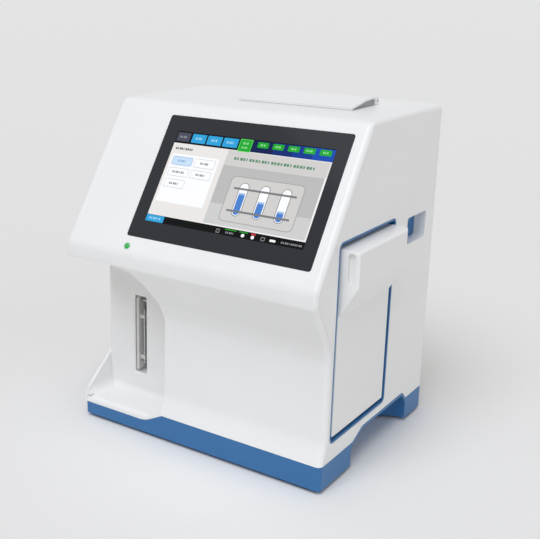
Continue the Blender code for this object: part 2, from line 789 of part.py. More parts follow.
def edge_round(corner, radius, lead, way=(1, 1)):
    """The outline of a cutter that rounds off an edge, seen along the edge.

    The way says to which side of the corner the two faces run.  The first and last
    chords run on past the faces, so that none of the cutter lies flush with them.
    """
    steps = math.ceil(math.pi / 2 / ARC_STEP)
    arc = []
    for i in range(steps + 1):
        angle = math.pi / 2 * i / steps
        arc.append(Vector((radius - radius * math.sin(angle), radius - radius * math.cos(angle))))
    arc[0] += (arc[0] - arc[1]) * ROUND_OVERSHOOT_SHARE
    arc[-1] += (arc[-1] - arc[-2]) * ROUND_OVERSHOOT_SHARE
    outer = [
        Vector((-lead, arc[-1].y)),
        Vector((-lead, -lead)),
        Vector((arc[0].x, -lead)),
    ]
    return [corner + point * Vector(way) for point in arc + outer]


def niche_rounding(name):
    """The sampling niche as a cutter, with its rounded lip, left edge and cheek."""
    niche = add_object(f"{name}_niche_cutter", niche_form())
    cheek_x = -HALF_WIDTH + CHEEK_THICKNESS
    front = BROW_Y - OVERRUN
    steps = math.ceil(math.pi / 2 / ARC_STEP)
    fillet = [(cheek_x - BITE, NICHE_FLOOR_Z + CHEEK_FILLET)]
    for i in range(1, steps):
        angle = math.pi / 2 * i / steps
        fillet.append((
            cheek_x + CHEEK_FILLET * (1 - math.cos(angle)),
            NICHE_FLOOR_Z + CHEEK_FILLET * (1 - math.sin(angle)),
        ))
    fillet += [
        (cheek_x + CHEEK_FILLET, NICHE_FLOOR_Z - BITE),
        (cheek_x - BITE, NICHE_FLOOR_Z - BITE),
    ]
    behind = NICHE_WALL_Y + OVERRUN
    cut(niche, prism(fillet, "Y", front, behind), f"{name}_cheek_fillet")

    corner = Vector((FRONT_Y, -NICHE_FLOOR_Z))
    places = (
        (-HALF_WIDTH - OVERRUN, NICHE_LIP_ROUND),
        (NICHE_RIGHT_X - NICHE_TOE_RADIUS - NICHE_LIP_ROUND * 2, NICHE_LIP_ROUND),
        (NICHE_RIGHT_X - NICHE_TOE_RADIUS - NICHE_LIP_ROUND_END, NICHE_LIP_ROUND_END),
    )
    sections = [
        [Vector((x, p.x, -p.y)) for p in edge_round(corner, radius, BITE)]
        for x, radius in places
    ]
    join(niche, loft(sections), f"{name}_lip_round")

    corner = Vector((-HALF_WIDTH, NICHE_WALL_Y))
    edge = prism(
        edge_round(corner, NICHE_EDGE_ROUND, OVERRUN / 2), "Z", -OVERRUN, BROW_BOTTOM_Z)
    join(niche, edge, f"{name}_wall_round")
    cut(niche, cheek_form(), f"{name}_cheek")
    return niche


def seam_region(grow=0):
    """The space of the front cover, in front of a seam that follows its edge."""
    corners = housing_corners()
    behind = inset(corners, SEAM_SETBACK - grow)
    out_y = BROW_Y - OVERRUN
    top = HOUSING_HEIGHT + OVERRUN
    low = -OVERRUN
    seam_top_y = behind[2][0] + (top - behind[2][1]) * math.tan(SLOPE_ANGLE)
    outline = [
        (out_y, low, 0),
        (behind[7][0], low, 0),
        (behind[7][0], behind[7][1], 0),
        behind[6],
        behind[5],
        behind[4],
        behind[3],
        (seam_top_y, top, 0),
        (out_y, top, 0),
    ]
    points = rounded(outline)
    return prism(points, "X", -HALF_WIDTH - OVERRUN, HALF_WIDTH + OVERRUN)


def niche_seam_region(grow=0):
    """The front cover's share of the left side, round the niche."""
    return block(
        (-HALF_WIDTH - OVERRUN, BROW_Y - OVERRUN, -OVERRUN),
        (
            NICHE_RIGHT_X + NICHE_SEAM_MARGIN + grow,
            NICHE_WALL_Y + LEFT_SEAM_SETBACK + grow,
            BROW_BOTTOM_Z + NICHE_SEAM_MARGIN + grow,
        ),
    )


def lip_form(grow=0):
    """The platform of the niche, whose front lip hangs over the blue band."""
    bottom = NICHE_LIP_BOTTOM_Z - grow
    right = NICHE_RIGHT_X + NICHE_SEAM_MARGIN / 2 + grow
    outline = rounded([
        (-HALF_WIDTH - grow, bottom, 0),
        (right - NICHE_LIP_SWEEP, bottom, NICHE_LIP_SWEEP),
        (right, COVER_BOTTOM_Z + BITE, 0),
        (-HALF_WIDTH - grow, COVER_BOTTOM_Z + BITE, 0),
    ])
    return prism(outline, "Y", FRONT_Y - grow, NICHE_WALL_Y + WALL / 2 + grow)


def cheek_form():
    """The space kept for the low wall on the left of the niche."""
    behind = NICHE_WALL_Y + OVERRUN
    slope = (CHEEK_BACK_TOP_Z - CHEEK_FRONT_TOP_Z) / (NICHE_WALL_Y - FRONT_Y)
    top_behind = CHEEK_BACK_TOP_Z + slope * OVERRUN
    front = BROW_Y - OVERRUN
    top_front = CHEEK_FRONT_TOP_Z - slope * (FRONT_Y - front)
    outline = [
        (front, -OVERRUN),
        (behind, -OVERRUN),
        (behind, top_behind),
        (front, top_front),
    ]
    left = -HALF_WIDTH - OVERRUN * 2
    right = -HALF_WIDTH + CHEEK_THICKNESS
    bm = prism(outline, "X", left, right)
    rim = [
        edge
        for edge in bm.edges
        if min(vert.co.x for vert in edge.verts) > right - FIT_GAP
        and min(vert.co.z for vert in edge.verts) > 0
    ]
    return bevel(bm, rim, CHEEK_ROUND)


def housing_shell(name, material):
    """The hollow housing with its niche, before it is split into covers."""
    shell = add_object(name, housing_form(), material)
    join(shell, lip_form(), f"{name}_lip")
    modify(shell, niche_rounding(name), "DIFFERENCE")
    inside = add_object(f"{name}_inside_cutter", housing_form(WALL))
    cut(inside, niche_form(WALL), f"{name}_inner_niche")
    modify(shell, inside, "DIFFERENCE")
    return shell


def slope_matrix():
    """From sizes on the slope (right, up, out) to the housing frame."""
    tilt = math.pi / 2 - SLOPE_ANGLE
    turn = Matrix.Rotation(tilt, 4, "X")
    return Matrix.Translation((0, TOP_FRONT_Y, HOUSING_HEIGHT)) @ turn


def on_slope(bm):
    """Carry a shape drawn flat onto the slope."""
    bmesh.ops.transform(bm, matrix=slope_matrix(), verts=bm.verts)
    return bm


def glass_corners(grow=0):
    """The outline of the screen glass, on the slope."""
    return inset(
        rectangle(GLASS_LEFT_X, -GLASS_BOTTOM_S, GLASS_RIGHT_X, -GLASS_TOP_S, GLASS_RADIUS),
        -grow,
    )


def slot_corners(grow=0):
    """The sample slot in the niche wall, seen from the front."""
    return inset(
        rectangle(
            SLOT_LEFT_X,
            SLOT_BOTTOM_Z,
            SLOT_RIGHT_X,
            SLOT_TOP_Z,
            SLOT_RADIUS,
        ),
        -grow,
    )


def section(corners, axis, height):
    """One rounded outline at a height, for a loft."""
    return [place(axis, height, point[0], point[1]) for point in rounded(corners)]


def slot_cutter():
    """The sample slot with its bevelled mouth."""
    lead = OVERRUN / 2
    return loft([
        section(slot_corners(SLOT_BEVEL + lead), "Y", NICHE_WALL_Y - lead),
        section(slot_corners(), "Y", NICHE_WALL_Y + SLOT_BEVEL),
        section(slot_corners(), "Y", NICHE_WALL_Y + OVERRUN),
    ])


def turned(name, profile, material, point, tilt=0, steps=20):
    """A profile of (radius, height) points, from top to bottom, turned about Z."""
    bm = bmesh.new()
    verts = [bm.verts.new((radius, 0, height)) for radius, height in profile]
    for one, other in zip(verts, verts[1:]):
        bm.edges.new((one, other))
    obj = add_object(name, bm, material)
    screw = obj.modifiers.new("turn", "SCREW")
    screw.steps = steps
    screw.render_steps = steps
    screw.use_merge_vertices = True
    screw.merge_threshold = MERGE_DISTANCE
    screw.use_smooth_shade = True
    obj.location = point
    obj.rotation_euler = (tilt, 0, 0)
    return obj


# Outer casing


def make_front_cover():
    """Slope, brow, lower face, niche and platform in one moulding."""
    cover = housing_shell("front_cover", "white_abs")
    region = add_object("front_cover_region", seam_region())
    join(region, niche_seam_region(), "front_cover_niche_region")
    modify(cover, region, "INTERSECT")
    floor = -GLASS_THICKNESS - SEAT_GAP
    pocket = prism(rounded(glass_corners(FIT_GAP)), "Z", floor, OVERRUN)
    openings = add_object("front_openings_cutter", on_slope(pocket))
    window = prism(rounded(glass_corners(-GLASS_LEDGE)), "Z", -OVERRUN, floor + BITE)
    join(openings, on_slope(window), "display_window")
    led_hole = rod((LED_X, -LED_S, -OVERRUN), "Z", LED_STEM_RADIUS + FIT_GAP, OVERRUN * 2)
    join(openings, on_slope(led_hole), "led_hole")
    join(openings, slot_cutter(), "sample_slot")
    modify(cover, openings, "DIFFERENCE")
    return smooth(cover)


def make_screen():
    """The glass, flush with the slope, and the display behind it."""
    glass = prism(rounded(glass_corners()), "Z", -GLASS_THICKNESS, 0)
    add_object("screen_glass", on_slope(glass), "screen_glass")
    top = -GLASS_THICKNESS - SEAT_GAP
    corners = inset(glass_corners(), DISPLAY_MARGIN)
    display = prism(rounded(corners), "Z", top - DISPLAY_THICKNESS, top)
    add_object("display_module", on_slope(display), "sheet_steel")


def make_status_led():
    """A domed light pipe in the slope, left of the screen's lower corner."""
    steps = math.ceil(math.pi / 2 / ARC_STEP)
    angles = [math.pi / 2 * i / steps for i in range(steps + 1)]
    dome = [(LED_RADIUS * math.sin(a), SEAT_GAP + LED_DOME * math.cos(a)) for a in angles]
    stem = [
        (LED_STEM_RADIUS, SEAT_GAP),
        (LED_STEM_RADIUS, -LED_STEM_LENGTH),
        (0, -LED_STEM_LENGTH),
    ]
    point = slope_matrix() @ Vector((LED_X, -LED_S, 0))
    tilt = math.pi / 2 - SLOPE_ANGLE
    return turned("status_led", dome + stem, "green_lens", point, tilt, steps=16)


def arch_corners(bottom, grow=0):
    """The hand-hold arch in the side of the base, seen from the right."""
    shoulder = BAND_HEIGHT - ARCH_RIM
    corners = [
        (ARCH_FRONT_Y, bottom - grow, 0),
        (ARCH_REAR_Y, bottom - grow, 0),
        (ARCH_REAR_Y, shoulder, ARCH_RADIUS),
        (ARCH_REAR_Y - ARCH_REAR_RUN, ARCH_TOP_Z, ARCH_RADIUS),
        (ARCH_FRONT_Y + ARCH_FRONT_RUN, ARCH_TOP_Z, ARCH_RADIUS),
        (ARCH_FRONT_Y, shoulder, ARCH_RADIUS),
    ]
    return inset(corners, -grow)


def scoop_form(side, grow=0):
    """The hand-hold's hollow, rounding down from the arch into the base."""
    low = -OVERRUN
    middle = (ARCH_FRONT_Y + ARCH_REAR_Y) / 2
    corners = arch_corners(low, grow - ARCH_RIM)
    outline = rounded(corners, COARSE_STEP)
    count = len(SCOOP_SHARES)
    reach = SCOOP_DEPTH + grow
    sections = []
    for i, share in enumerate(SCOOP_SHARES):
        x = side * (HALF_WIDTH - reach * i / (count - 1) if i else HALF_WIDTH + OVERRUN)
        spread = (1 + share) / 2
        sections.append([
            Vector((x, middle + (p[0] - middle) * spread, low + (p[1] - low) * share))
            for p in outline
        ])
    return loft(sections)


def make_base_tray():
    """Blue tray: floor, skirt and the hand-hold arches with their scoops."""
    plan = rectangle(-HALF_WIDTH, FRONT_Y, HALF_WIDTH, REAR_Y, EDGE_RADIUS)
    top_z = ARCH_TOP_Z + OVERRUN
    tray = add_object("base_tray", prism(rounded(plan), "Z", 0, top_z), "blue_abs")
    out_x = HALF_WIDTH + OVERRUN
    above = add_object("tray_top_cutter", block(
        (-out_x, FRONT_Y - OVERRUN, BAND_HEIGHT), (out_x, REAR_Y + OVERRUN, top_z + OVERRUN)))
    bump = rounded(arch_corners(BAND_HEIGHT / 2))
    cut(above, prism(bump, "X", -out_x - OVERRUN, out_x + OVERRUN), "tray_arch")
    modify(tray, above, "DIFFERENCE")
    inner_plan = rounded(inset(plan, TRAY_WALL))
    pocket = prism(inner_plan, "Z", TRAY_FLOOR_THICKNESS, top_z + OVERRUN)
    pocket = add_object("tray_pocket_cutter", pocket)
    for side, label in ((1, "right"), (-1, "left")):
        cut(pocket, scoop_form(side, TRAY_WALL), f"scoop_wall_{label}")
    modify(tray, pocket, "DIFFERENCE")
    for side, label in ((1, "right"), (-1, "left")):
        cut(tray, scoop_form(side), f"scoop_{label}")
    cut(tray, lip_form(FIT_GAP), "tray_lip")
    return smooth(tray)


def make_feet():
    """Four rubber feet under the corners of the tray."""
    top = -SEAT_GAP
    profile = [
        (0, top),
        (FOOT_RADIUS - FOOT_TAPER, top),
        (FOOT_RADIUS, -FOOT_HEIGHT + FOOT_TAPER),
        (FOOT_RADIUS - FOOT_TAPER, -FOOT_HEIGHT),
        (0, -FOOT_HEIGHT),
    ]
    for x_name, x in (("left", -1), ("right", 1)):
        for y_name, y in (("front", -1), ("rear", 1)):
            point = (x * (HALF_WIDTH - FOOT_INSET_X), y * (REAR_Y - FOOT_INSET_Y), 0)
            turned(f"foot_{y_name}_{x_name}", profile, "rubber", point)


def bay_corners(grow=0):
    """The reagent bay's opening, seen from the right."""
    return inset(rectangle(BAY_FRONT_Y, BAY_BOTTOM_Z, BAY_REAR_Y, BAY_TOP_Z, BAY_RADIUS), -grow)


def notch_corners(grow=0):
    """The finger notch's opening, seen from the right."""
    return inset(
        rectangle(NOTCH_FRONT_Y, NOTCH_BOTTOM_Z, NOTCH_REAR_Y, NOTCH_TOP_Z, NOTCH_RADIUS),
        -grow,
    )


def rear_corners(grow=0):
    """The opening for the rear panel, seen from behind."""
    half = HALF_WIDTH - REAR_OPENING_MARGIN_X
    return inset(
        rectangle(
            -half, REAR_OPENING_BOTTOM_Z, half, REAR_OPENING_TOP_Z, REAR_OPENING_RADIUS),
        -grow,
    )


def well_corners(grow=0):
    """The opening for the printer, seen from above."""
    return inset(
        rectangle(WELL_LEFT_X, WELL_FRONT_Y, WELL_RIGHT_X, WELL_REAR_Y, WELL_RADIUS), -grow)


def make_main_cover():
    """Top, sides and rear rim in one moulding, with its openings."""
    cover = housing_shell("main_cover", "white_abs")
    region = add_object("main_cover_front_cutter", seam_region(grow=-FIT_GAP))
    join(region, niche_seam_region(grow=FIT_GAP), "main_cover_niche_front")
    modify(cover, region, "DIFFERENCE")
    collar = prism(
        rounded(notch_corners(NOTCH_WALL)), "X", HALF_WIDTH - NOTCH_DEPTH, HALF_WIDTH - BITE)
    join(cover, collar, "notch_collar")
    for x, label in lug_places():
        join(cover, lug_form(x), f"hinge_lug_{label}")
    inner_x = HALF_WIDTH - NOTCH_DEPTH - OVERRUN
    outer_x = HALF_WIDTH + OVERRUN
    cut(cover, prism(rounded(bay_corners(FIT_GAP)), "X", inner_x, outer_x), "bay")
    cut(cover, prism(rounded(notch_corners()), "X", inner_x, outer_x), "notch")
    arch = rounded(arch_corners(-OVERRUN, FIT_GAP))
    cut(cover, prism(arch, "X", -outer_x, outer_x), "cover_arch")
    low, high = HOUSING_HEIGHT - OVERRUN, HOUSING_HEIGHT + OVERRUN
    cut(cover, prism(rounded(well_corners()), "Z", low, high), "printer_well")
    rear = prism(rounded(rear_corners()), "Y", REAR_Y - OVERRUN, REAR_Y + OVERRUN)
    cut(cover, rear, "rear_opening")
    pin = rod((LID_LEFT_X, HINGE_Y, HINGE_Z), "X", LID_PIN_RADIUS + FIT_GAP, LID_WIDTH)
    cut(cover, pin, "lug_bore")
    return smooth(cover)


# Printer lid and hinge


def lug_places():
    """Where the two hinge lugs stand along the lid."""
    return (
        (LID_LEFT_X + LUG_INSET, "left"),
        (LID_RIGHT_X - LUG_INSET - LUG_WIDTH, "right"),
    )


def lug_form(x):
    """A hinge lug that stands on the top of the housing."""
    radius = LID_HINGE_RADIUS - SEAT_GAP
    corners = rectangle(
        HINGE_Y - radius, HOUSING_HEIGHT - BITE, HINGE_Y + radius, HINGE_Z + radius)
    corners[2] = (*corners[2][:2], radius * ROUND_SHARE)
    corners[3] = (*corners[3][:2], radius * ROUND_SHARE)
    return prism(rounded(corners), "X", x, x + LUG_WIDTH)


def lid_corners():
    """The humped section of the lid, seen from the right."""
    depth = LID_REAR_Y - LID_FRONT_Y
    crest_y = LID_FRONT_Y + depth * LID_CREST_SHARE
    rear_top = LID_BASE_Z + LID_HINGE_RADIUS * 2
    return [
        (LID_FRONT_Y, LID_BASE_Z, 0),
        (LID_REAR_Y, LID_BASE_Z, LID_HINGE_RADIUS),
        (LID_REAR_Y, rear_top, LID_HINGE_RADIUS * ROUND_SHARE),
        (crest_y, LID_BASE_Z + LID_HEIGHT, LID_CREST_RADIUS),
        (LID_FRONT_Y, LID_BASE_Z + LID_FRONT_THICKNESS, 0),
    ]


def lid_cavity_corners(grow=0):
    """The space under the lid's skin, open below, ahead of the hinge bar."""
    corners = inset(lid_corners(), LID_WALL - grow)
    rear = HINGE_Y - LID_HINGE_RADIUS - LID_WALL + grow
    crest = corners[3]
    front = corners[4]
    share = (rear - crest[0]) / (corners[2][0] - crest[0])
    rear_top = crest[1] + (corners[2][1] - crest[1]) * share
    return [
        (front[0], LID_BASE_Z - OVERRUN, 0),
        (rear, LID_BASE_Z - OVERRUN, 0),
        (rear, rear_top, 0),
        crest,
        front,
    ]


def make_lid():
    """The humped printer lid, its grey core, and the pin that it turns on."""
    left, right = LID_LEFT_X, LID_RIGHT_X
    lid = add_object("printer_lid", prism(rounded(lid_corners()), "X", left, right), "white_abs")
    cavity = prism(rounded(lid_cavity_corners()), "X", left - OVERRUN, right + OVERRUN)
    cut(lid, cavity, "lid_cavity")
    for x, label in lug_places():
        low = (x - LUG_GAP, HINGE_Y - LID_HINGE_RADIUS - LID_WALL - BITE, LID_BASE_Z - OVERRUN)
        high = (x + LUG_WIDTH + LUG_GAP, LID_REAR_Y + OVERRUN, LID_BASE_Z + LID_HEIGHT + OVERRUN)
        cut(lid, block(low, high), f"lid_notch_{label}")
    bore = rod((left - OVERRUN, HINGE_Y, HINGE_Z), "X", LID_PIN_RADIUS + FIT_GAP,
               LID_WIDTH + OVERRUN * 2)
    cut(lid, bore, "lid_bore")
    smooth(lid)
    core_corners = lid_cavity_corners(-FIT_GAP)
    core_corners[0] = (core_corners[0][0], LID_BASE_Z, 0)
    core_corners[1] = (core_corners[1][0], LID_BASE_Z, 0)
    core_left, core_right = left + LID_LINER_INSET, right - LID_LINER_INSET
    core = add_object(
        "lid_core", prism(rounded(core_corners), "X", core_left, core_right), "grey_abs")
    hollow = inset(core_corners, LID_WALL)
    hollow[0] = (hollow[0][0], LID_BASE_Z - OVERRUN, 0)
    hollow[1] = (hollow[1][0], LID_BASE_Z - OVERRUN, 0)
    inner = prism(rounded(hollow), "X", core_left + LID_WALL, core_right - LID_WALL)
    cut(core, inner, "lid_core_hollow")
    smooth(core)
    pin_left = LID_LEFT_X + LUG_INSET - LUG_WIDTH
    pin_length = LID_WIDTH - (LUG_INSET - LUG_WIDTH) * 2
    add_object(
        "lid_hinge_pin",
        rod((pin_left, HINGE_Y, HINGE_Z), "X", LID_PIN_RADIUS, pin_length, segments=12),
        "steel")
    pivot("printer_lid_axis", (0, HINGE_Y, HINGE_Z), [lid, core])


# Printer under the lid


def make_printer():
    """The paper bucket with its roll, spindle, platen and thermal head."""
    rim = SKIN_Z - SEAT_GAP
    floor = HOUSING_HEIGHT - BUCKET_DEPTH
    bucket = add_object(
        "printer_bucket",
        prism(rounded(well_corners(BUCKET_WALL), COARSE_STEP), "Z", floor - BUCKET_WALL, rim),
        "grey_abs")
    flange = prism(
        rounded(well_corners(BUCKET_WALL + BUCKET_FLANGE), COARSE_STEP), "Z",
        rim - BUCKET_FLANGE_THICKNESS, rim)
    join(bucket, flange, "bucket_flange")
    inside = prism(rounded(well_corners(), COARSE_STEP), "Z", floor, rim + OVERRUN)
    cut(bucket, inside, "bucket_inside")
    wide = WELL_RIGHT_X - WELL_LEFT_X + OVERRUN * 2
    left = WELL_LEFT_X - OVERRUN
    spindle_bore = rod((left, ROLL_Y, ROLL_Z), "X", SPINDLE_END_RADIUS + FIT_GAP, wide)
    cut(bucket, spindle_bore, "spindle_bore")
    platen_bore = rod((left, PLATEN_Y, PLATEN_Z), "X", PLATEN_SHAFT_RADIUS + FIT_GAP, wide)
    cut(bucket, platen_bore, "platen_bore")
    smooth(bucket)

    half_roll = ROLL_WIDTH / 2
    roll = add_object(
        "paper_roll",
        rod((WELL_MIDDLE_X - half_roll, ROLL_Y, ROLL_Z), "X", ROLL_RADIUS, ROLL_WIDTH, 32),
        "paper")
    core_bore = rod(
        (WELL_MIDDLE_X - half_roll - OVERRUN, ROLL_Y, ROLL_Z), "X",
        SPINDLE_RADIUS + FIT_GAP, ROLL_WIDTH + OVERRUN * 2, 24)
    cut(roll, core_bore, "roll_bore")
    smooth(roll)
    reach = (WELL_RIGHT_X - WELL_LEFT_X) / 2 + BUCKET_WALL
    spindle = add_object(
        "paper_spindle",
        rod((WELL_MIDDLE_X - half_roll, ROLL_Y, ROLL_Z), "X", SPINDLE_RADIUS, ROLL_WIDTH),
        "grey_abs")
    join(spindle, rod((WELL_MIDDLE_X - reach, ROLL_Y, ROLL_Z), "X", SPINDLE_END_RADIUS, reach * 2),
         "spindle_ends")
    smooth(spindle)
    pivot("paper_roll_axis", (WELL_MIDDLE_X, ROLL_Y, ROLL_Z), [roll, spindle])

    platen = add_object(
        "platen_roller",
        rod((WELL_MIDDLE_X - half_roll, PLATEN_Y, PLATEN_Z), "X", PLATEN_RADIUS, ROLL_WIDTH),
        "rubber")
    join(platen, rod((WELL_MIDDLE_X - reach, PLATEN_Y, PLATEN_Z), "X", PLATEN_SHAFT_RADIUS,
                     reach * 2), "platen_shaft")
    smooth(platen)
    pivot("platen_axis", (WELL_MIDDLE_X, PLATEN_Y, PLATEN_Z), [platen])

    head_back = PLATEN_Y - PLATEN_RADIUS - SEAT_GAP
    head_top = PLATEN_Z + HEAD_LEAD
    head_low = (WELL_MIDDLE_X - half_roll, WELL_FRONT_Y + SEAT_GAP, head_top - HEAD_HEIGHT)
    head_high = (WELL_MIDDLE_X + half_roll, head_back, head_top)
    add_object("thermal_head", block(head_low, head_high), "circuit_board")


# Sample slot and sampling lever


def make_probe():
    """The dark channel behind the slot, the lever in it and its needle."""
    front = NICHE_WALL_Y + WALL + SEAT_GAP
    back = front + CHANNEL_DEPTH
    top = SLOT_TOP_Z + CHANNEL_HEADROOM
    low = (SLOT_LEFT_X - CHANNEL_WALL, front, SLOT_BOTTOM_Z - CHANNEL_WALL)
    high = (SLOT_RIGHT_X + CHANNEL_WALL, back, top + CHANNEL_WALL)
    channel = add_object("probe_channel", block(low, high), "grey_abs")
    inside = block((SLOT_LEFT_X, front - OVERRUN, SLOT_BOTTOM_Z),
                   (SLOT_RIGHT_X, back - CHANNEL_WALL, top))
    cut(channel, inside, "channel_inside")
    pin_left = SLOT_LEFT_X - CHANNEL_WALL
    pin_length = SLOT_WIDTH + CHANNEL_WALL * 2
    pin_bore = rod((pin_left - OVERRUN, LEVER_PIVOT_Y, LEVER_PIVOT_Z), "X",
                   LEVER_PIN_RADIUS + FIT_GAP, pin_length + OVERRUN * 2, 12)
    cut(channel, pin_bore, "channel_bore")
    add_object(
        "lever_pin",
        rod((pin_left, LEVER_PIVOT_Y, LEVER_PIVOT_Z), "X", LEVER_PIN_RADIUS, pin_length, 12),
        "steel")

    foot = SLOT_BOTTOM_Z + LEVER_FOOT_GAP
    round_head = LEVER_DEPTH / 2 * ROUND_SHARE
    corners = rectangle(LEVER_FRONT_Y, foot, LEVER_FRONT_Y + LEVER_DEPTH, LEVER_TOP_Z)
    corners[2] = (*corners[2][:2], round_head)
    corners[3] = (*corners[3][:2], round_head)
    lever = add_object(
        "sampling_lever", prism(rounded(corners), "X", LEVER_LEFT_X, LEVER_RIGHT_X), "grey_abs")
    needle_x = LEVER_RIGHT_X + NEEDLE_CARRIER
    needle_y = NICHE_WALL_Y + NEEDLE_RECESS
    needle_foot = foot + NEEDLE_FOOT_GAP
    needle_length = LEVER_PIVOT_Z - NEEDLE_HEAD_GAP - needle_foot
    clip_half = NEEDLE_RADIUS * 2
    upper_clip = needle_foot + needle_length - NEEDLE_CLIP_INSET - NEEDLE_CARRIER
    for label, z in (("lower", needle_foot + NEEDLE_CLIP_INSET), ("upper", upper_clip)):
        clip = block(
            (LEVER_RIGHT_X - BITE, needle_y - clip_half, z),
            (needle_x + clip_half, needle_y + clip_half, z + NEEDLE_CARRIER))
        join(lever, clip, f"needle_clip_{label}")
    needle_bore = rod((needle_x, needle_y, foot), "Z", NEEDLE_RADIUS + FIT_GAP,
                      SLOT_TOP_Z - foot, 12)
    cut(lever, needle_bore, "needle_bore")
    lever_bore = rod((LEVER_LEFT_X - OVERRUN, LEVER_PIVOT_Y, LEVER_PIVOT_Z), "X",
                     LEVER_PIN_RADIUS + FIT_GAP, OVERRUN * 2, 12)
    cut(lever, lever_bore, "lever_bore")
    needle = add_object(
        "sample_needle",
        rod((needle_x, needle_y, needle_foot), "Z", NEEDLE_RADIUS, needle_length, 12), "steel")
    pivot("sampling_lever_axis", (LEVER_LEFT_X, LEVER_PIVOT_Y, LEVER_PIVOT_Z), [lever, needle])


# Reagent bay and pack


def port_places():
    """The heights of the fluid ports at the back of the bay."""
    first = PORT_Z - PORT_PITCH * (PORT_COUNT - 1) / 2
    return [first + PORT_PITCH * i for i in range(PORT_COUNT)]


def make_bay_liner():
    """The blue sleeve that guides the pack, with the blue back of the notch."""
    liner = add_object(
        "bay_liner", prism(rounded(bay_corners()), "X", LINER_BACK_X, HALF_WIDTH), "blue_abs")
    plate_x = HALF_WIDTH - NOTCH_DEPTH - FIT_GAP
    plate = block(
        (plate_x - NOTCH_BACK_THICKNESS, BAY_REAR_Y - BITE, NOTCH_BOTTOM_Z - NOTCH_WALL),
        (plate_x, NOTCH_REAR_Y + NOTCH_WALL, NOTCH_TOP_Z + NOTCH_WALL))
    join(liner, plate, "notch_back")
    inside = prism(
        rounded(bay_corners(-LINER_WALL)), "X", LINER_BACK_X + LINER_WALL, HALF_WIDTH + OVERRUN)
    cut(liner, inside, "liner_inside")
    rail_height = PACK_GAP_BOTTOM - SEAT_GAP
    for label, y in (
        ("front", PACK_FRONT_Y + RAIL_INSET_Y),
        ("rear", PACK_REAR_Y - RAIL_INSET_Y - RAIL_WIDTH),
    ):
        rail_floor = BAY_BOTTOM_Z + LINER_WALL
        rail_right = HALF_WIDTH - RAIL_INSET_X
        rail = block(
            (rail_right - RAIL_LENGTH, y, rail_floor - BITE),
            (rail_right, y + RAIL_WIDTH, rail_floor + rail_height))
        join(liner, rail, f"rail_{label}")
    for i, z in enumerate(port_places()):
        bore = rod((LINER_BACK_X - OVERRUN, BAY_MIDDLE_Y, z), "X",
                   PORT_RADIUS + FIT_GAP, OVERRUN * 2)
        cut(liner, bore, f"liner_port_{i}")
    return smooth(liner)


def make_port_block():
    """The fluid manifold behind the liner, with a spigot for each port."""
    right = LINER_BACK_X - SEAT_GAP
    half = PORT_BLOCK_WIDTH / 2
    reach = PORT_PITCH * (PORT_COUNT - 1) / 2 + PORT_BLOCK_MARGIN
    ports = add_object(
        "port_block",
        block((right - PORT_BLOCK_DEPTH, BAY_MIDDLE_Y - half, PORT_Z - reach),
              (right, BAY_MIDDLE_Y + half, PORT_Z + reach)),
        "clear_acrylic")
    tip = PACK_BACK_X + SEPTUM_THICKNESS / 2
    for i, z in enumerate(port_places()):
        spigot = rod((right - BITE, BAY_MIDDLE_Y, z), "X", PORT_RADIUS, tip - right + BITE)
        join(ports, spigot, f"spigot_{i}")
    return smooth(ports)


def pack_corners():
    """The section of the pack with its protruding grip, seen from the front."""
    grip_bottom = PACK_TOP_Z - GRIP_FACE_HEIGHT
    return [
        (PACK_BACK_X, PACK_BOTTOM_Z, 0),
        (PACK_FACE_X, PACK_BOTTOM_Z, GRIP_RADIUS),
        (PACK_FACE_X, grip_bottom - GRIP_CHAMFER_HEIGHT, GRIP_RADIUS),
        (GRIP_X, grip_bottom, GRIP_RADIUS),
        (GRIP_X, PACK_TOP_Z, GRIP_RADIUS),
        (PACK_BACK_X, PACK_TOP_Z, 0),
    ]


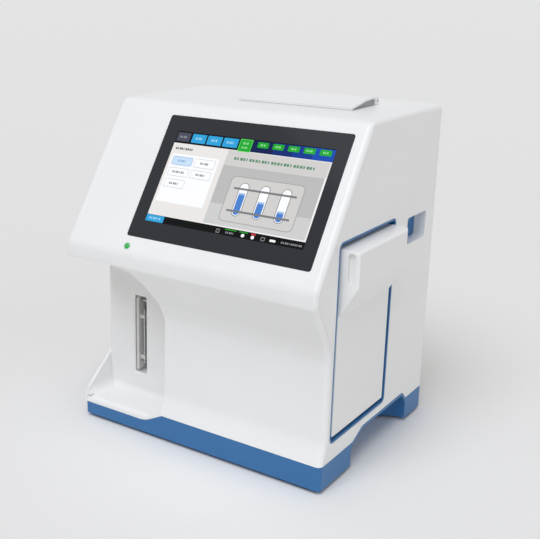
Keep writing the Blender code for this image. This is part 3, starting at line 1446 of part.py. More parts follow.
def make_reagent_pack():
    """The pack's casing with its grip, back plate, septa and three bags."""
    form = prism(rounded(pack_corners()), "Y", PACK_FRONT_Y, PACK_REAR_Y)
    ends = [
        edge
        for edge in form.edges
        if abs(edge.verts[0].co.y - edge.verts[1].co.y) < FIT_GAP
        and min(vert.co.x for vert in edge.verts) > PACK_BACK_X + FIT_GAP
    ]
    bevel(form, ends, GRIP_RADIUS * ROUND_SHARE, segments=2)
    pack = add_object("reagent_pack", form, "white_abs")
    hollow = inset(pack_corners(), PACK_WALL)
    hollow[0] = (PACK_BACK_X - OVERRUN, hollow[0][1], 0)
    hollow[-1] = (PACK_BACK_X - OVERRUN, hollow[-1][1], 0)
    inside = prism(
        rounded(hollow, COARSE_STEP), "Y", PACK_FRONT_Y + PACK_WALL + GRIP_SLOT_DEPTH,
        PACK_REAR_Y - PACK_WALL)
    inside = add_object("pack_inside_cutter", inside)
    tail = PACK_REAR_Y - GRIP_TAIL_RADIUS
    cut(inside, block(
        (PACK_FACE_X - PACK_WALL, tail - GRIP_TAIL_RADIUS / 2, PACK_BOTTOM_Z),
        (GRIP_X + OVERRUN, PACK_REAR_Y + OVERRUN, PACK_TOP_Z + OVERRUN)), "grip_tail_wall")
    modify(pack, inside, "DIFFERENCE")
    outline = edge_round(
        Vector((GRIP_X, PACK_REAR_Y)), GRIP_TAIL_RADIUS, OVERRUN, way=(-1, -1))
    lowest = PACK_TOP_Z - GRIP_FACE_HEIGHT - GRIP_CHAMFER_HEIGHT
    cut(pack, prism(outline, "Z", lowest, PACK_TOP_Z + OVERRUN), "grip_tail")
    slot_right = GRIP_X - GRIP_SLOT_INSET
    slot_top = PACK_TOP_Z - GRIP_SLOT_INSET / 2
    slot = rectangle(
        slot_right - GRIP_SLOT_WIDTH, slot_top - GRIP_SLOT_HEIGHT, slot_right, slot_top,
        GRIP_SLOT_WIDTH / 2 * ROUND_SHARE)
    slot = prism(rounded(slot), "Y", PACK_FRONT_Y - OVERRUN, PACK_FRONT_Y + GRIP_SLOT_DEPTH)
    cut(pack, slot, "grip_slot")
    smooth(pack)

    inner_low_y = PACK_FRONT_Y + PACK_WALL + GRIP_SLOT_DEPTH + FIT_GAP
    inner_high_y = PACK_REAR_Y - PACK_WALL - FIT_GAP
    inner_low_z = PACK_BOTTOM_Z + PACK_WALL + FIT_GAP
    inner_high_z = PACK_TOP_Z - PACK_WALL - FIT_GAP
    plate = add_object(
        "pack_back_plate",
        block((PACK_BACK_X, inner_low_y, inner_low_z),
              (PACK_BACK_X + PACK_WALL, inner_high_y, inner_high_z)),
        "white_abs")
    septa_half = PORT_PITCH * (PORT_COUNT - 1) / 2 + SEPTUM_RADIUS
    strip_low = (BAY_MIDDLE_Y - SEPTUM_RADIUS, PORT_Z - septa_half)
    strip_high = (BAY_MIDDLE_Y + SEPTUM_RADIUS, PORT_Z + septa_half)
    window = inset(rectangle(*strip_low, *strip_high, SEPTUM_RADIUS * ROUND_SHARE), -FIT_GAP)
    cut(plate, prism(rounded(window), "X", PACK_BACK_X - OVERRUN, PACK_BACK_X + OVERRUN),
        "septa_window")
    strip_outline = rectangle(*strip_low, *strip_high, SEPTUM_RADIUS * ROUND_SHARE)
    strip = add_object(
        "septa_strip",
        prism(rounded(strip_outline), "X", PACK_BACK_X, PACK_BACK_X + SEPTUM_THICKNESS), "rubber")
    for i, z in enumerate(port_places()):
        bore = rod((PACK_BACK_X - OVERRUN, BAY_MIDDLE_Y, z), "X",
                   PORT_RADIUS + RUNNING_GAP, OVERRUN * 2)
        cut(strip, bore, f"septum_{i}")
    smooth(strip)

    bags_left = PACK_BACK_X + SEPTUM_THICKNESS + BAG_GAP
    bags_right = PACK_FACE_X - PACK_WALL - BAG_GAP
    pitch = (bags_right - bags_left) / BAG_COUNT
    names = ("calibrant_a_bag", "calibrant_b_bag", "waste_bag")
    members = [pack, plate, strip]
    for i, name in enumerate(names):
        left = bags_left + pitch * i + FIT_GAP
        bag = block(
            (left, inner_low_y + BAG_GAP, inner_low_z),
            (left + pitch - FIT_GAP * 2, inner_high_y - BAG_GAP, inner_high_z - BAG_HEADROOM),
            BAG_CROWN)
        members.append(smooth(add_object(name, bag, "bag_film")))
    pivot("reagent_pack_axis", (PACK_FACE_X, BAY_MIDDLE_Y, PORT_Z), members)


# Rear panel, fan, inlet, switch and ports


def opening(x, z, width, height, grow=0, radius=0):
    """A rectangle on the rear panel, round its middle."""
    return rectangle(
        x - width / 2 - grow, z - height / 2 - grow,
        x + width / 2 + grow, z + height / 2 + grow, radius)


def make_rear_panel():
    """The panel in the back, with a grille and the openings for its fittings."""
    panel = add_object(
        "rear_panel",
        prism(rounded(rear_corners(-FIT_GAP)), "Y", PANEL_INNER_Y, REAR_Y), "white_abs")
    flange = prism(rounded(rear_corners(REAR_FLANGE)), "Y", PANEL_INNER_Y, PANEL_SEAT_Y)
    join(panel, flange, "rear_flange")
    hollow = prism(
        rounded(rear_corners(-REAR_FLANGE)), "Y", PANEL_INNER_Y - OVERRUN, PANEL_SEAT_Y + BITE / 2)
    cut(panel, hollow, "rear_panel_hollow")
    through = (PANEL_INNER_Y - OVERRUN, REAR_Y + OVERRUN)
    middle = (GRILLE_SLOTS - 1) / 2
    for i in range(GRILLE_SLOTS):
        rise = (i - middle) * GRILLE_PITCH
        half = math.sqrt(FAN_BORE_RADIUS ** 2 - rise ** 2)
        slot = opening(FAN_X, FAN_Z + rise, half * 2, GRILLE_SLOT_HEIGHT,
                       radius=GRILLE_SLOT_HEIGHT / 2 * ROUND_SHARE)
        cut(panel, prism(rounded(slot, COARSE_STEP), "Y", *through), f"grille_slot_{i}")
    fittings = (
        ("inlet", INLET_X, INLET_Z, INLET_WIDTH, INLET_HEIGHT),
        ("rocker", ROCKER_X, ROCKER_Z, ROCKER_WIDTH + ROCKER_FRAME * 2,
         ROCKER_HEIGHT + ROCKER_FRAME * 2),
        ("usb", USB_X, JACK_Z, USB_WIDTH, USB_HEIGHT),
        ("lan", LAN_X, JACK_Z, LAN_WIDTH, LAN_HEIGHT),
    )
    for label, x, z, width, height in fittings:
        hole = opening(x, z, width, height, grow=JACK_GAP)
        cut(panel, prism(rounded(hole), "Y", *through), f"{label}_opening")
    return smooth(panel)


def make_fan():
    """The fan frame against the rear panel, and the rotor that spins in it."""
    rear = PANEL_SEAT_Y + BITE / 2 - SEAT_GAP
    front = rear - FAN_THICKNESS
    half = FAN_SIZE / 2
    frame = add_object(
        "fan_frame",
        block((FAN_X - half, front, FAN_Z - half), (FAN_X + half, rear, FAN_Z + half)),
        "black_plastic")
    bore = rod((FAN_X, front - OVERRUN, FAN_Z), "Y", FAN_BORE_RADIUS, FAN_THICKNESS * 3, 32)
    cut(frame, bore, "fan_bore")
    join(frame, rod((FAN_X, front, FAN_Z), "Y", FAN_HUB_RADIUS, FAN_SPOKE_THICKNESS, 24),
         "fan_hub_seat")
    reach = FAN_BORE_RADIUS + BITE
    half_spoke = FAN_SPOKE_WIDTH / 2
    for i, (dx, dz) in enumerate(((1, 0), (-1, 0), (0, 1), (0, -1))):
        near = FAN_HUB_RADIUS - BITE
        xs = sorted((dx * near, dx * reach)) if dx else (-half_spoke, half_spoke)
        zs = sorted((dz * near, dz * reach)) if dz else (-half_spoke, half_spoke)
        spoke = block(
            (FAN_X + xs[0], front, FAN_Z + zs[0]),
            (FAN_X + xs[1], front + FAN_SPOKE_THICKNESS, FAN_Z + zs[1]))
        join(frame, spoke, f"fan_spoke_{i}")
    smooth(frame)

    hub_front = front + FAN_SPOKE_THICKNESS + RUNNING_GAP
    hub_rear = rear - RUNNING_GAP * 2
    rotor = add_object(
        "fan_rotor",
        rod((FAN_X, hub_front, FAN_Z), "Y", FAN_HUB_RADIUS, hub_rear - hub_front, 24),
        "black_plastic")
    tip = FAN_BORE_RADIUS - RUNNING_GAP * 2
    chord = (hub_rear - hub_front) * FAN_CHORD_SHARE
    for i in range(FAN_BLADES):
        blade = block(
            (-FAN_BLADE_THICKNESS / 2, -chord / 2, FAN_HUB_RADIUS - BITE * 2),
            (FAN_BLADE_THICKNESS / 2, chord / 2, tip))
        bmesh.ops.rotate(blade, verts=blade.verts, matrix=Matrix.Rotation(FAN_BLADE_PITCH, 3, "Z"))
        bmesh.ops.rotate(
            blade, verts=blade.verts,
            matrix=Matrix.Rotation(math.tau * i / FAN_BLADES, 3, "Y"))
        bmesh.ops.translate(
            blade, verts=blade.verts, vec=(FAN_X, (hub_front + hub_rear) / 2, FAN_Z))
        join(rotor, blade, f"fan_blade_{i}")
    smooth(rotor)
    pivot("fan_axis", (FAN_X, hub_front, FAN_Z), [rotor])


def make_inlet():
    """The mains inlet, a flanged body with three contact blades."""
    face = REAR_Y + SEAT_GAP + INLET_FLANGE_THICKNESS
    flange = opening(INLET_X, INLET_Z, INLET_WIDTH, INLET_HEIGHT, grow=INLET_FLANGE,
                     radius=INLET_FLANGE)
    inlet = add_object(
        "power_inlet", prism(rounded(flange), "Y", REAR_Y + SEAT_GAP, face), "black_plastic")
    body = opening(INLET_X, INLET_Z, INLET_WIDTH, INLET_HEIGHT)
    join(inlet, prism(rounded(body), "Y", face - INLET_BODY_DEPTH, face - BITE / 2), "inlet_body")
    cavity = opening(INLET_X, INLET_Z, INLET_WIDTH, INLET_HEIGHT, grow=-INLET_CAVITY_INSET,
                     radius=INLET_CAVITY_INSET)
    cut(inlet, prism(rounded(cavity, COARSE_STEP), "Y", face - INLET_CAVITY_DEPTH, face + OVERRUN),
        "inlet_cavity")
    root = face - INLET_CAVITY_DEPTH
    for i, (dx, dz) in enumerate(((-1, -1), (0, 1), (1, -1))):
        x = INLET_X + dx * INLET_PIN_SPREAD
        z = INLET_Z + dz * INLET_PIN_WIDTH / 2
        blade = block(
            (x - INLET_PIN_THICKNESS / 2, root - BITE, z - INLET_PIN_WIDTH / 2),
            (x + INLET_PIN_THICKNESS / 2, root + INLET_PIN_LENGTH, z + INLET_PIN_WIDTH / 2))
        join(inlet, blade, f"inlet_pin_{i}")
    return smooth(inlet)


def make_rocker():
    """The power switch: a frame in the rear panel and the rocker in it."""
    face = REAR_Y + ROCKER_FLANGE
    outer = opening(ROCKER_X, ROCKER_Z, ROCKER_WIDTH, ROCKER_HEIGHT, grow=ROCKER_FRAME)
    frame = add_object(
        "rocker_frame", prism(rounded(outer), "Y", face - ROCKER_FRAME_DEPTH, face),
        "black_plastic")
    hole = opening(ROCKER_X, ROCKER_Z, ROCKER_WIDTH, ROCKER_HEIGHT)
    cut(frame, prism(rounded(hole), "Y", face - ROCKER_FRAME_DEPTH + ROCKER_FRAME, face + OVERRUN),
        "rocker_hole")
    pivot_y = face - ROCKER_PIVOT_DEPTH
    half_width = ROCKER_WIDTH / 2
    stub = ROCKER_FRAME / 2
    bore = rod((ROCKER_X - half_width - stub, pivot_y, ROCKER_Z), "X",
               ROCKER_STUB_RADIUS + FIT_GAP, ROCKER_WIDTH + stub * 2, 12)
    cut(frame, bore, "rocker_bore")
    smooth(frame)
    body_half = half_width - FIT_GAP
    reach = ROCKER_HEIGHT / 2 - ROCKER_END_GAP
    crown = ROCKER_PIVOT_DEPTH + ROCKER_CROWN
    shoulder = crown - reach * math.tan(ROCKER_TILT)
    back = -ROCKER_BACK
    outline = [(back, -reach), (shoulder, -reach), (crown, 0), (shoulder, reach), (back, reach)]
    turn = Matrix.Rotation(ROCKER_TILT, 2)
    points = [turn @ Vector(p) + Vector((pivot_y, ROCKER_Z)) for p in outline]
    rocker = add_object(
        "power_rocker", prism(points, "X", ROCKER_X - body_half, ROCKER_X + body_half),
        "black_plastic")
    stub_reach = half_width + stub - FIT_GAP
    join(rocker, rod((ROCKER_X - stub_reach, pivot_y, ROCKER_Z), "X", ROCKER_STUB_RADIUS,
                     stub_reach * 2, 12), "rocker_stubs")
    pivot("power_rocker_axis", (ROCKER_X, pivot_y, ROCKER_Z), [rocker])


def make_jack(name, x, width, height, tongue_shares):
    """A metal-shelled data jack with its tongues."""
    face = REAR_Y + JACK_PROUD
    body = opening(x, JACK_Z, width, height)
    jack = add_object(name, prism(rounded(body), "Y", face - JACK_DEPTH, face), "sheet_steel")
    cavity = opening(x, JACK_Z, width, height, grow=-JACK_WALL)
    root = face - JACK_DEPTH + JACK_WALL * 2
    cut(jack, prism(rounded(cavity), "Y", root, face + OVERRUN), f"{name}_cavity")
    inner = width - JACK_WALL * 4
    for i, share in enumerate(tongue_shares):
        z = JACK_Z + height * (share - 1 / 2)
        tongue = block(
            (x - inner / 2, root - BITE, z - JACK_TONGUE / 2),
            (x + inner / 2, face - JACK_TONGUE, z + JACK_TONGUE / 2))
        join(jack, tongue, f"{name}_tongue_{i}")
    return jack


# Inner frame and what it carries


def post_places():
    """The corners of the main board, where its posts stand."""
    return [
        (x, z)
        for x in (BOARD_LEFT_X + BOARD_POST_INSET, BOARD_RIGHT_X - BOARD_POST_INSET)
        for z in (BOARD_BOTTOM_Z + BOARD_POST_INSET, BOARD_TOP_Z - BOARD_POST_INSET)
    ]


def make_chassis():
    """A bent steel sheet: a foot on the tray and a wall for the wet parts."""
    foot = CHASSIS_FOOT_Z
    top = CHASSIS_FOOT_Z + CHASSIS_HEIGHT
    thick = CHASSIS_THICKNESS
    outline = [
        (CHASSIS_WALL_Y, foot, CHASSIS_BEND + thick),
        (CHASSIS_REAR_Y, foot, 0),
        (CHASSIS_REAR_Y, foot + thick, 0),
        (WALL_BACK_Y, foot + thick, CHASSIS_BEND),
        (WALL_BACK_Y, top, 0),
        (CHASSIS_WALL_Y, top, 0),
    ]
    chassis = add_object(
        "chassis", prism(rounded(outline), "X", CHASSIS_LEFT_X, CHASSIS_RIGHT_X), "sheet_steel")
    for i, (x, z) in enumerate(post_places()):
        post = rod((x, WALL_BACK_Y - BITE, z), "Y", BOARD_POST_RADIUS,
                   BOARD_STANDOFF + BITE, 12)
        join(chassis, post, f"board_post_{i}")
    shaft_hole = rod((PUMP_X, CHASSIS_WALL_Y - OVERRUN, PUMP_Z), "Y",
                     PUMP_SHAFT_RADIUS + RUNNING_GAP, OVERRUN * 2)
    cut(chassis, shaft_hole, "shaft_hole")
    return smooth(chassis)


def make_boards():
    """The main board on its posts, and the power supply on the chassis foot."""
    front = WALL_BACK_Y + BOARD_STANDOFF + SEAT_GAP
    rear = front + BOARD_THICKNESS
    board = add_object(
        "main_board",
        block((BOARD_LEFT_X, front, BOARD_BOTTOM_Z), (BOARD_RIGHT_X, rear, BOARD_TOP_Z)),
        "circuit_board")
    width = BOARD_RIGHT_X - BOARD_LEFT_X
    height = BOARD_TOP_Z - BOARD_BOTTOM_Z
    for i, (u, v, wide, tall, thick) in enumerate(BOARD_CHIP_SHARES):
        x = BOARD_LEFT_X + width * u
        z = BOARD_BOTTOM_Z + height * v
        chip = block((x, rear - BOARD_THICKNESS / 2, z),
                     (x + width * wide, rear + BOARD_STANDOFF * thick, z + height * tall))
        join(board, chip, f"board_chip_{i}")
    foot = CHASSIS_FOOT_Z + CHASSIS_THICKNESS + SEAT_GAP
    back = CHASSIS_REAR_Y - SUPPLY_BACK_GAP
    low = Vector((SUPPLY_LEFT_X, back - SUPPLY_DEPTH, foot))
    high = Vector((SUPPLY_RIGHT_X, back, foot + SUPPLY_HEIGHT))
    supply = add_object("power_supply", block(low, high), "sheet_steel")
    wall = Vector((SUPPLY_WALL, SUPPLY_WALL, SUPPLY_WALL))
    cut(supply, block(low + wall, high - wall), "supply_inside")
    pitch = (SUPPLY_RIGHT_X - SUPPLY_LEFT_X) / (SUPPLY_SLOTS + 1)
    for i in range(SUPPLY_SLOTS):
        x = SUPPLY_LEFT_X + pitch * (i + 1)
        slot = block(
            (x - SUPPLY_SLOT_WIDTH / 2, low.y + OVERRUN, high.z - OVERRUN),
            (x + SUPPLY_SLOT_WIDTH / 2, high.y - OVERRUN, high.z + OVERRUN))
        cut(supply, slot, f"supply_slot_{i}")


def make_pump():
    """The peristaltic pump: motor, head, rotor with rollers, tube and cover."""
    centre = Vector((PUMP_X, 0, PUMP_Z))
    motor_y = WALL_BACK_Y + SEAT_GAP
    motor = add_object(
        "pump_motor",
        rod(centre + Vector((0, motor_y, 0)), "Y", PUMP_MOTOR_RADIUS, PUMP_MOTOR_LENGTH, 24),
        "sheet_steel")
    smooth(motor)

    head_front = BENCH_Y - PUMP_DEPTH
    head = add_object(
        "pump_head",
        rod(centre + Vector((0, head_front, 0)), "Y", PUMP_RADIUS, PUMP_DEPTH, 32), "grey_abs")
    track = PUMP_RADIUS - PUMP_WALL
    cavity = rod(centre + Vector((0, head_front - OVERRUN, 0)), "Y", track,
                 PUMP_DEPTH - PUMP_WALL + OVERRUN, 32)
    cut(head, cavity, "pump_cavity")
    shaft_hole = rod(centre + Vector((0, head_front, 0)), "Y", PUMP_SHAFT_RADIUS + RUNNING_GAP,
                     PUMP_DEPTH + OVERRUN)
    cut(head, shaft_hole, "pump_shaft_hole")
    tube_reach = track - SEAT_GAP - PUMP_TUBE_RADIUS
    tube_y = head_front + (PUMP_DEPTH - PUMP_WALL) / 2
    for side, label in ((-1, "left"), (1, "right")):
        port = rod(centre + Vector((side * tube_reach, tube_y, 0)), "Z",
                   PUMP_TUBE_RADIUS + FIT_GAP, PUMP_RADIUS + OVERRUN, 12)
        cut(head, port, f"pump_port_{label}")
    smooth(head)

    cover_rear = head_front - SEAT_GAP
    cover = add_object(
        "pump_cover",
        rod(centre + Vector((0, cover_rear - PUMP_WALL / 2, 0)), "Y", PUMP_RADIUS, PUMP_WALL / 2,
            32), "clear_acrylic")
    smooth(cover)

    rotor_rear = BENCH_Y - PUMP_WALL - RUNNING_GAP
    rotor = add_object(
        "pump_rotor",
        rod(centre + Vector((0, rotor_rear - PUMP_ROTOR_THICKNESS, 0)), "Y",
            PUMP_ROLLER_ORBIT + PUMP_ROLLER_RADIUS / 2, PUMP_ROTOR_THICKNESS, 24), "white_abs")
    shaft_end = motor_y - SEAT_GAP
    shaft_front = head_front + RUNNING_GAP
    join(rotor, rod(centre + Vector((0, shaft_front, 0)), "Y", PUMP_SHAFT_RADIUS,
                    shaft_end - shaft_front), "pump_shaft")
    roller_front = head_front + RUNNING_GAP
    roller_rear = rotor_rear - PUMP_ROTOR_THICKNESS - RUNNING_GAP
    places = []
    for i in range(PUMP_ROLLERS):
        angle = math.tau * i / PUMP_ROLLERS + math.pi / 2
        spot = centre + Vector((math.cos(angle), 0, math.sin(angle))) * PUMP_ROLLER_ORBIT
        places.append(spot)
        join(rotor, rod(spot + Vector((0, roller_front, 0)), "Y", PUMP_PIN_RADIUS,
                        rotor_rear - BITE - roller_front, 12), f"roller_pin_{i}")
    smooth(rotor)
    hub = pivot("pump_axis", (PUMP_X, tube_y, PUMP_Z), [rotor])
    for i, spot in enumerate(places):
        roller = add_object(
            f"pump_roller_{i + 1}",
            rod(spot + Vector((0, roller_front, 0)), "Y", PUMP_ROLLER_RADIUS,
                roller_rear - roller_front, 16), "silicone")
        bore = rod(spot + Vector((0, roller_front - OVERRUN, 0)), "Y",
                   PUMP_PIN_RADIUS + FIT_GAP, roller_rear - roller_front + OVERRUN * 2, 12)
        cut(roller, bore, f"roller_bore_{i}")
        smooth(roller)
        axis = pivot(f"pump_roller_axis_{i + 1}", spot + Vector((0, tube_y, 0)), [roller])
        axis.parent = hub
        axis.location = Vector(axis.location) - Vector((PUMP_X, tube_y, PUMP_Z))

    points = [(-tube_reach, PUMP_RADIUS + PUMP_TUBE_TAIL)]
    turns = PUMP_TUBE_STEPS
    points += [
        (tube_reach * math.cos(math.pi + math.pi * i / turns),
         tube_reach * math.sin(math.pi + math.pi * i / turns))
        for i in range(turns + 1)
    ]
    points += [(tube_reach, PUMP_RADIUS + PUMP_TUBE_TAIL)]
    route = [centre + Vector((dx, tube_y, dz)) for dx, dz in points]
    add_tube("pump_tube", route, PUMP_TUBE_RADIUS, "silicone")


def add_tube(name, route, radius, material):
    """A round tube along a row of points."""
    curve = bpy.data.curves.new(name, "CURVE")
    curve.dimensions = "3D"
    curve.bevel_depth = radius
    curve.bevel_resolution = 2
    curve.use_fill_caps = True
    spline = curve.splines.new("POLY")
    spline.points.add(len(route) - 1)
    for point, place_on_route in zip(spline.points, route):
        point.co = (*place_on_route, 1)
    obj = bpy.data.objects.new(name, curve)
    obj.parent = frame_empty()
    collection(COLLECTION_NAME).objects.link(obj)
    curve.materials.append(make_material(material))
    return obj


def make_electrodes():
    """Six electrodes side by side in a holder on the chassis wall."""
    left = ELECTRODE_LEFT_X
    right = left + ELECTRODE_PITCH * ELECTRODE_COUNT
    shelf = ELECTRODE_BOTTOM_Z - SEAT_GAP
    rear = BENCH_Y
    seat = rear - HOLDER_BACK
    front = seat - SEAT_GAP - ELECTRODE_DEPTH
    top = ELECTRODE_BOTTOM_Z + ELECTRODE_HEIGHT
    low = (left - HOLDER_CHEEK, front, shelf - HOLDER_SHELF)
    high = (right + HOLDER_CHEEK, rear, top)
    holder = add_object("electrode_holder", block(low, high), "clear_acrylic")
    room = block((left - FIT_GAP, front - OVERRUN, shelf), (right + FIT_GAP, seat, top + OVERRUN))
    cut(holder, room, "holder_room")
    names = ("sodium", "potassium", "chloride", "calcium", "ph", "reference")
    corners = rectangle(front, ELECTRODE_BOTTOM_Z, seat - SEAT_GAP, top)
    corners[0] = (*corners[0][:2], ELECTRODE_NOSE_RADIUS)
    corners[3] = (*corners[3][:2], ELECTRODE_NOSE_RADIUS)
    for i, name in enumerate(names):
        x = left + ELECTRODE_PITCH * i + (ELECTRODE_PITCH - ELECTRODE_THICKNESS) / 2
        body = prism(rounded(corners), "X", x, x + ELECTRODE_THICKNESS)
        electrode = add_object(f"{name}_electrode", body, "clear_acrylic")
        smooth(electrode)


def make_valves():
    """A manifold on the chassis wall with two solenoid valves."""
    left = VALVE_LEFT_X
    width = VALVE_PITCH * (VALVE_COUNT - 1) + VALVE_RADIUS * 2 + VALVE_BLOCK_MARGIN * 2
    half = VALVE_BLOCK_HEIGHT / 2
    front = BENCH_Y - VALVE_BLOCK_DEPTH
    add_object(
        "valve_block",
        block((left, front, VALVE_Z - half), (left + width, BENCH_Y, VALVE_Z + half)),
        "clear_acrylic")
    for i in range(VALVE_COUNT):
        x = left + VALVE_BLOCK_MARGIN + VALVE_RADIUS + VALVE_PITCH * i
        valve = add_object(
            f"valve_{i + 1}",
            rod((x, front - SEAT_GAP - VALVE_LENGTH, VALVE_Z), "Y", VALVE_RADIUS, VALVE_LENGTH,
                20), "steel")
        smooth(valve)


def main():
    clear_scene()
    make_base_tray()
    make_feet()
    make_front_cover()
    make_main_cover()
    make_screen()
    make_status_led()
    make_lid()
    make_printer()
    make_probe()
    make_bay_liner()
    make_port_block()
    make_reagent_pack()
    make_rear_panel()
    make_fan()
    make_inlet()
    make_rocker()
    make_jack("usb_port", USB_X, USB_WIDTH, USB_HEIGHT, USB_TONGUE_SHARES)
    make_jack("lan_port", LAN_X, LAN_WIDTH, LAN_HEIGHT, LAN_TONGUE_SHARES)
    make_chassis()
    make_boards()
    make_pump()
    make_electrodes()
    make_valves()


main()
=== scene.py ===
"""Electrolyte analyzer: its finished look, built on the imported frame.

The file is laid out as a Blender add-on and is run as a script.  The frame gives
every place: +X is the user's right, -Y the front, +Z up, in metres.
"""

import json
import math

import bmesh
import bpy
from bpy.props import FloatProperty, FloatVectorProperty, PointerProperty
from bpy.types import Operator, Panel, PropertyGroup
from mathutils import Matrix, Vector

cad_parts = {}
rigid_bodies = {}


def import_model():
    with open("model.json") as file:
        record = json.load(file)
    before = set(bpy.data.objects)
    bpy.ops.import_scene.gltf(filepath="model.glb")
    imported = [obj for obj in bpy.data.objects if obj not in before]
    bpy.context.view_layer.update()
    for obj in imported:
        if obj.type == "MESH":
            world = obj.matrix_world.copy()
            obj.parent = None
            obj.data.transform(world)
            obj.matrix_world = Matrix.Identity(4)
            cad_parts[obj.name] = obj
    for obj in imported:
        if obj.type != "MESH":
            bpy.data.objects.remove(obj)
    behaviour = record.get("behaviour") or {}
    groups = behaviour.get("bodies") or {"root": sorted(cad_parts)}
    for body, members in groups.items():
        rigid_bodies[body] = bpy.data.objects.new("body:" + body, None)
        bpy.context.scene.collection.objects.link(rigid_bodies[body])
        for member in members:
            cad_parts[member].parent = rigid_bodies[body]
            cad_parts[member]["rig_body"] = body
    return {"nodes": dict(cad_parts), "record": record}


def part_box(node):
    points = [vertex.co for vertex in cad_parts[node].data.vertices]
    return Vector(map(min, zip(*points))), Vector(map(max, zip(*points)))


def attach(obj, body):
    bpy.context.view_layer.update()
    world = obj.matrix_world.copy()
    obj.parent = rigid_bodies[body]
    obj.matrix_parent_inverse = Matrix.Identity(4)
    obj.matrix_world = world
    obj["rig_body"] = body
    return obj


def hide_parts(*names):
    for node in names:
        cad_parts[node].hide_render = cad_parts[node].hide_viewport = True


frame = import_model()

bl_info = {
    "name": "Electrolyte Analyzer Look",
    "version": (1, 0, 0),
    "blender": (4, 5, 0),
    "location": "3D View > Sidebar > Analyzer",
    "description": "Builds the finished pieces, the materials and the studio of the analyzer",
    "category": "Object",
}

MM = 0.001

# Patterns of the finishes: the size of one cell or streak of each
MOTTLE_SIZE = 111 * MM
SMEAR_SIZE = 71.4 * MM
POLISH_SIZE = 16.7 * MM
TRACE_SIZE = 2.38 * MM
RIPPLE_SIZE = 1.11 * MM
PIXEL_SIZE = 0.4 * MM
FINE_GRAIN = 0.6 * MM
DRAWN_STREAK = (1.11 * MM, 1.11 * MM, 25 * MM)
ROLLED_STREAK = (3.33 * MM, 16.7 * MM, 3.33 * MM)

# Merging and softening of the frame's pieces
MERGE_DISTANCE = 0.00002
FLAT_ANGLE = math.radians(0.3)
CREASE_ANGLE = math.radians(33)
ARC_STEP = math.radians(9)

# Sampling niche, as in the solids.  Its floor, its ceiling and the brow are measured
# from the underside of the base tray, and the cheek's rise from the floor.
NICHE_FLOOR = 0.020
NICHE_DEPTH = 0.041
NICHE_LIP_ROUND = 0.0050
CHEEK_THICKNESS = 0.0032
CHEEK_RISE_FRONT = 0.0050
CHEEK_RISE_BACK = 0.0376
CORNER_ROUND = 0.006
NICHE_CEILING = 0.1599
BROW_BOTTOM = 0.1839

# What the look adds to the niche
CAP_FORWARD = 0.0048
CAP_SLOPE_SHARE = 0.6
BLEND_RADIUS = 0.011
BLEND_RISE_SHARE = 0.8
BLEND_RINGS = 12
SINK = 0.00015

# Screen
SLOPE_ANGLE = math.radians(34.3)
GLASS_THICKNESS = 0.0018
PAGE_MARGIN_LEFT = 0.0150
PAGE_MARGIN_RIGHT = 0.0135
PAGE_MARGIN_TOP = 0.0165
PAGE_MARGIN_BOTTOM = 0.0180
PAGE_LAYER = 0.00004
PAGE_ALBEDO = 0.35
PAGE_GLOW = 0.66

# Rear fittings and the status light's ring
TURN_STEPS = 28
SCREW_INSET = 0.0075
FAN_SCREW_INSET = 0.0052
SCREW_RADIUS = 0.0028
SCREW_HEIGHT = 0.0011
SCREW_HEAD_SHARES = ((1, 0.35), (0.93, 0.68), (0.78, 0.88), (0.55, 1), (0, 1))
CROSS_ARM_SHARE = 0.46
CROSS_HALF_SHARE = 0.11
LABEL_SIZE = (0.066, 0.038)
LABEL_INSET_X = 0.030
LABEL_TOP = 0.190
LED_BELOW_GLASS = 0.011
RING_INNER = 0.0033
RING_OUTER = 0.0042
RING_HEIGHT = 0.0003

# Camera, fitted to the photograph
CAMERA_TARGET = (-0.1027, 0.0104, 0.1702)
CAMERA_DISTANCE = 1.0528
CAMERA_AZIMUTH = math.radians(35.758)
CAMERA_ELEVATION = math.radians(16.030)
CAMERA_ROLL = math.radians(0.374)
CAMERA_LENS = 62.917
CAMERA_SENSOR = 36
CAMERA_SHIFT = (0.1540, -0.0376)

# Studio
FLOOR_SIZE = 60.0
LAMP_DISTANCE = 3.0
KEY_TOWARD = (0.06, -0.56, 0.82)
FILL_TOWARD = (0.90, -0.25, 0.35)
TOP_TOWARD = (-0.10, -0.20, 0.97)
KEY_SPREAD = math.radians(40)
FILL_SPREAD = math.radians(60)
TOP_SPREAD = math.radians(60)
COOL_LIGHT = "#F1F6FF"
WARM_LIGHT = "#FFF8EE"
MIRRORED_WALL = "#F2F3F5"
BACKDROP = "#EBEBEC"


# Colours and nodes


def linear(code):
    """The linear colour of an sRGB hex value."""
    values = [int(code[i:i + 2], 16) / 255 for i in (1, 3, 5)]
    return tuple(
        v / 12.92 if v <= 0.04045 else ((v + 0.055) / 1.055) ** 2.4 for v in values
    )


def add_node(tree, kind, links=(), **settings):
    """One shader node, with its settings, its input values and its links."""
    node = tree.nodes.new(kind)
    for name, value in settings.items():
        if name in node.inputs:
            node.inputs[name].default_value = value
        elif name.replace("_", " ").title() in node.inputs:
            node.inputs[name.replace("_", " ").title()].default_value = value
        else:
            setattr(node, name, value)
    for source, target in links:
        tree.links.new(source, node.inputs[target])
    return node


def new_material(name):
    """An empty material with a Principled shader, and its tree and shader."""
    material = bpy.data.materials.new(name)
    material.use_nodes = True
    return material, material.node_tree, material.node_tree.nodes["Principled BSDF"]


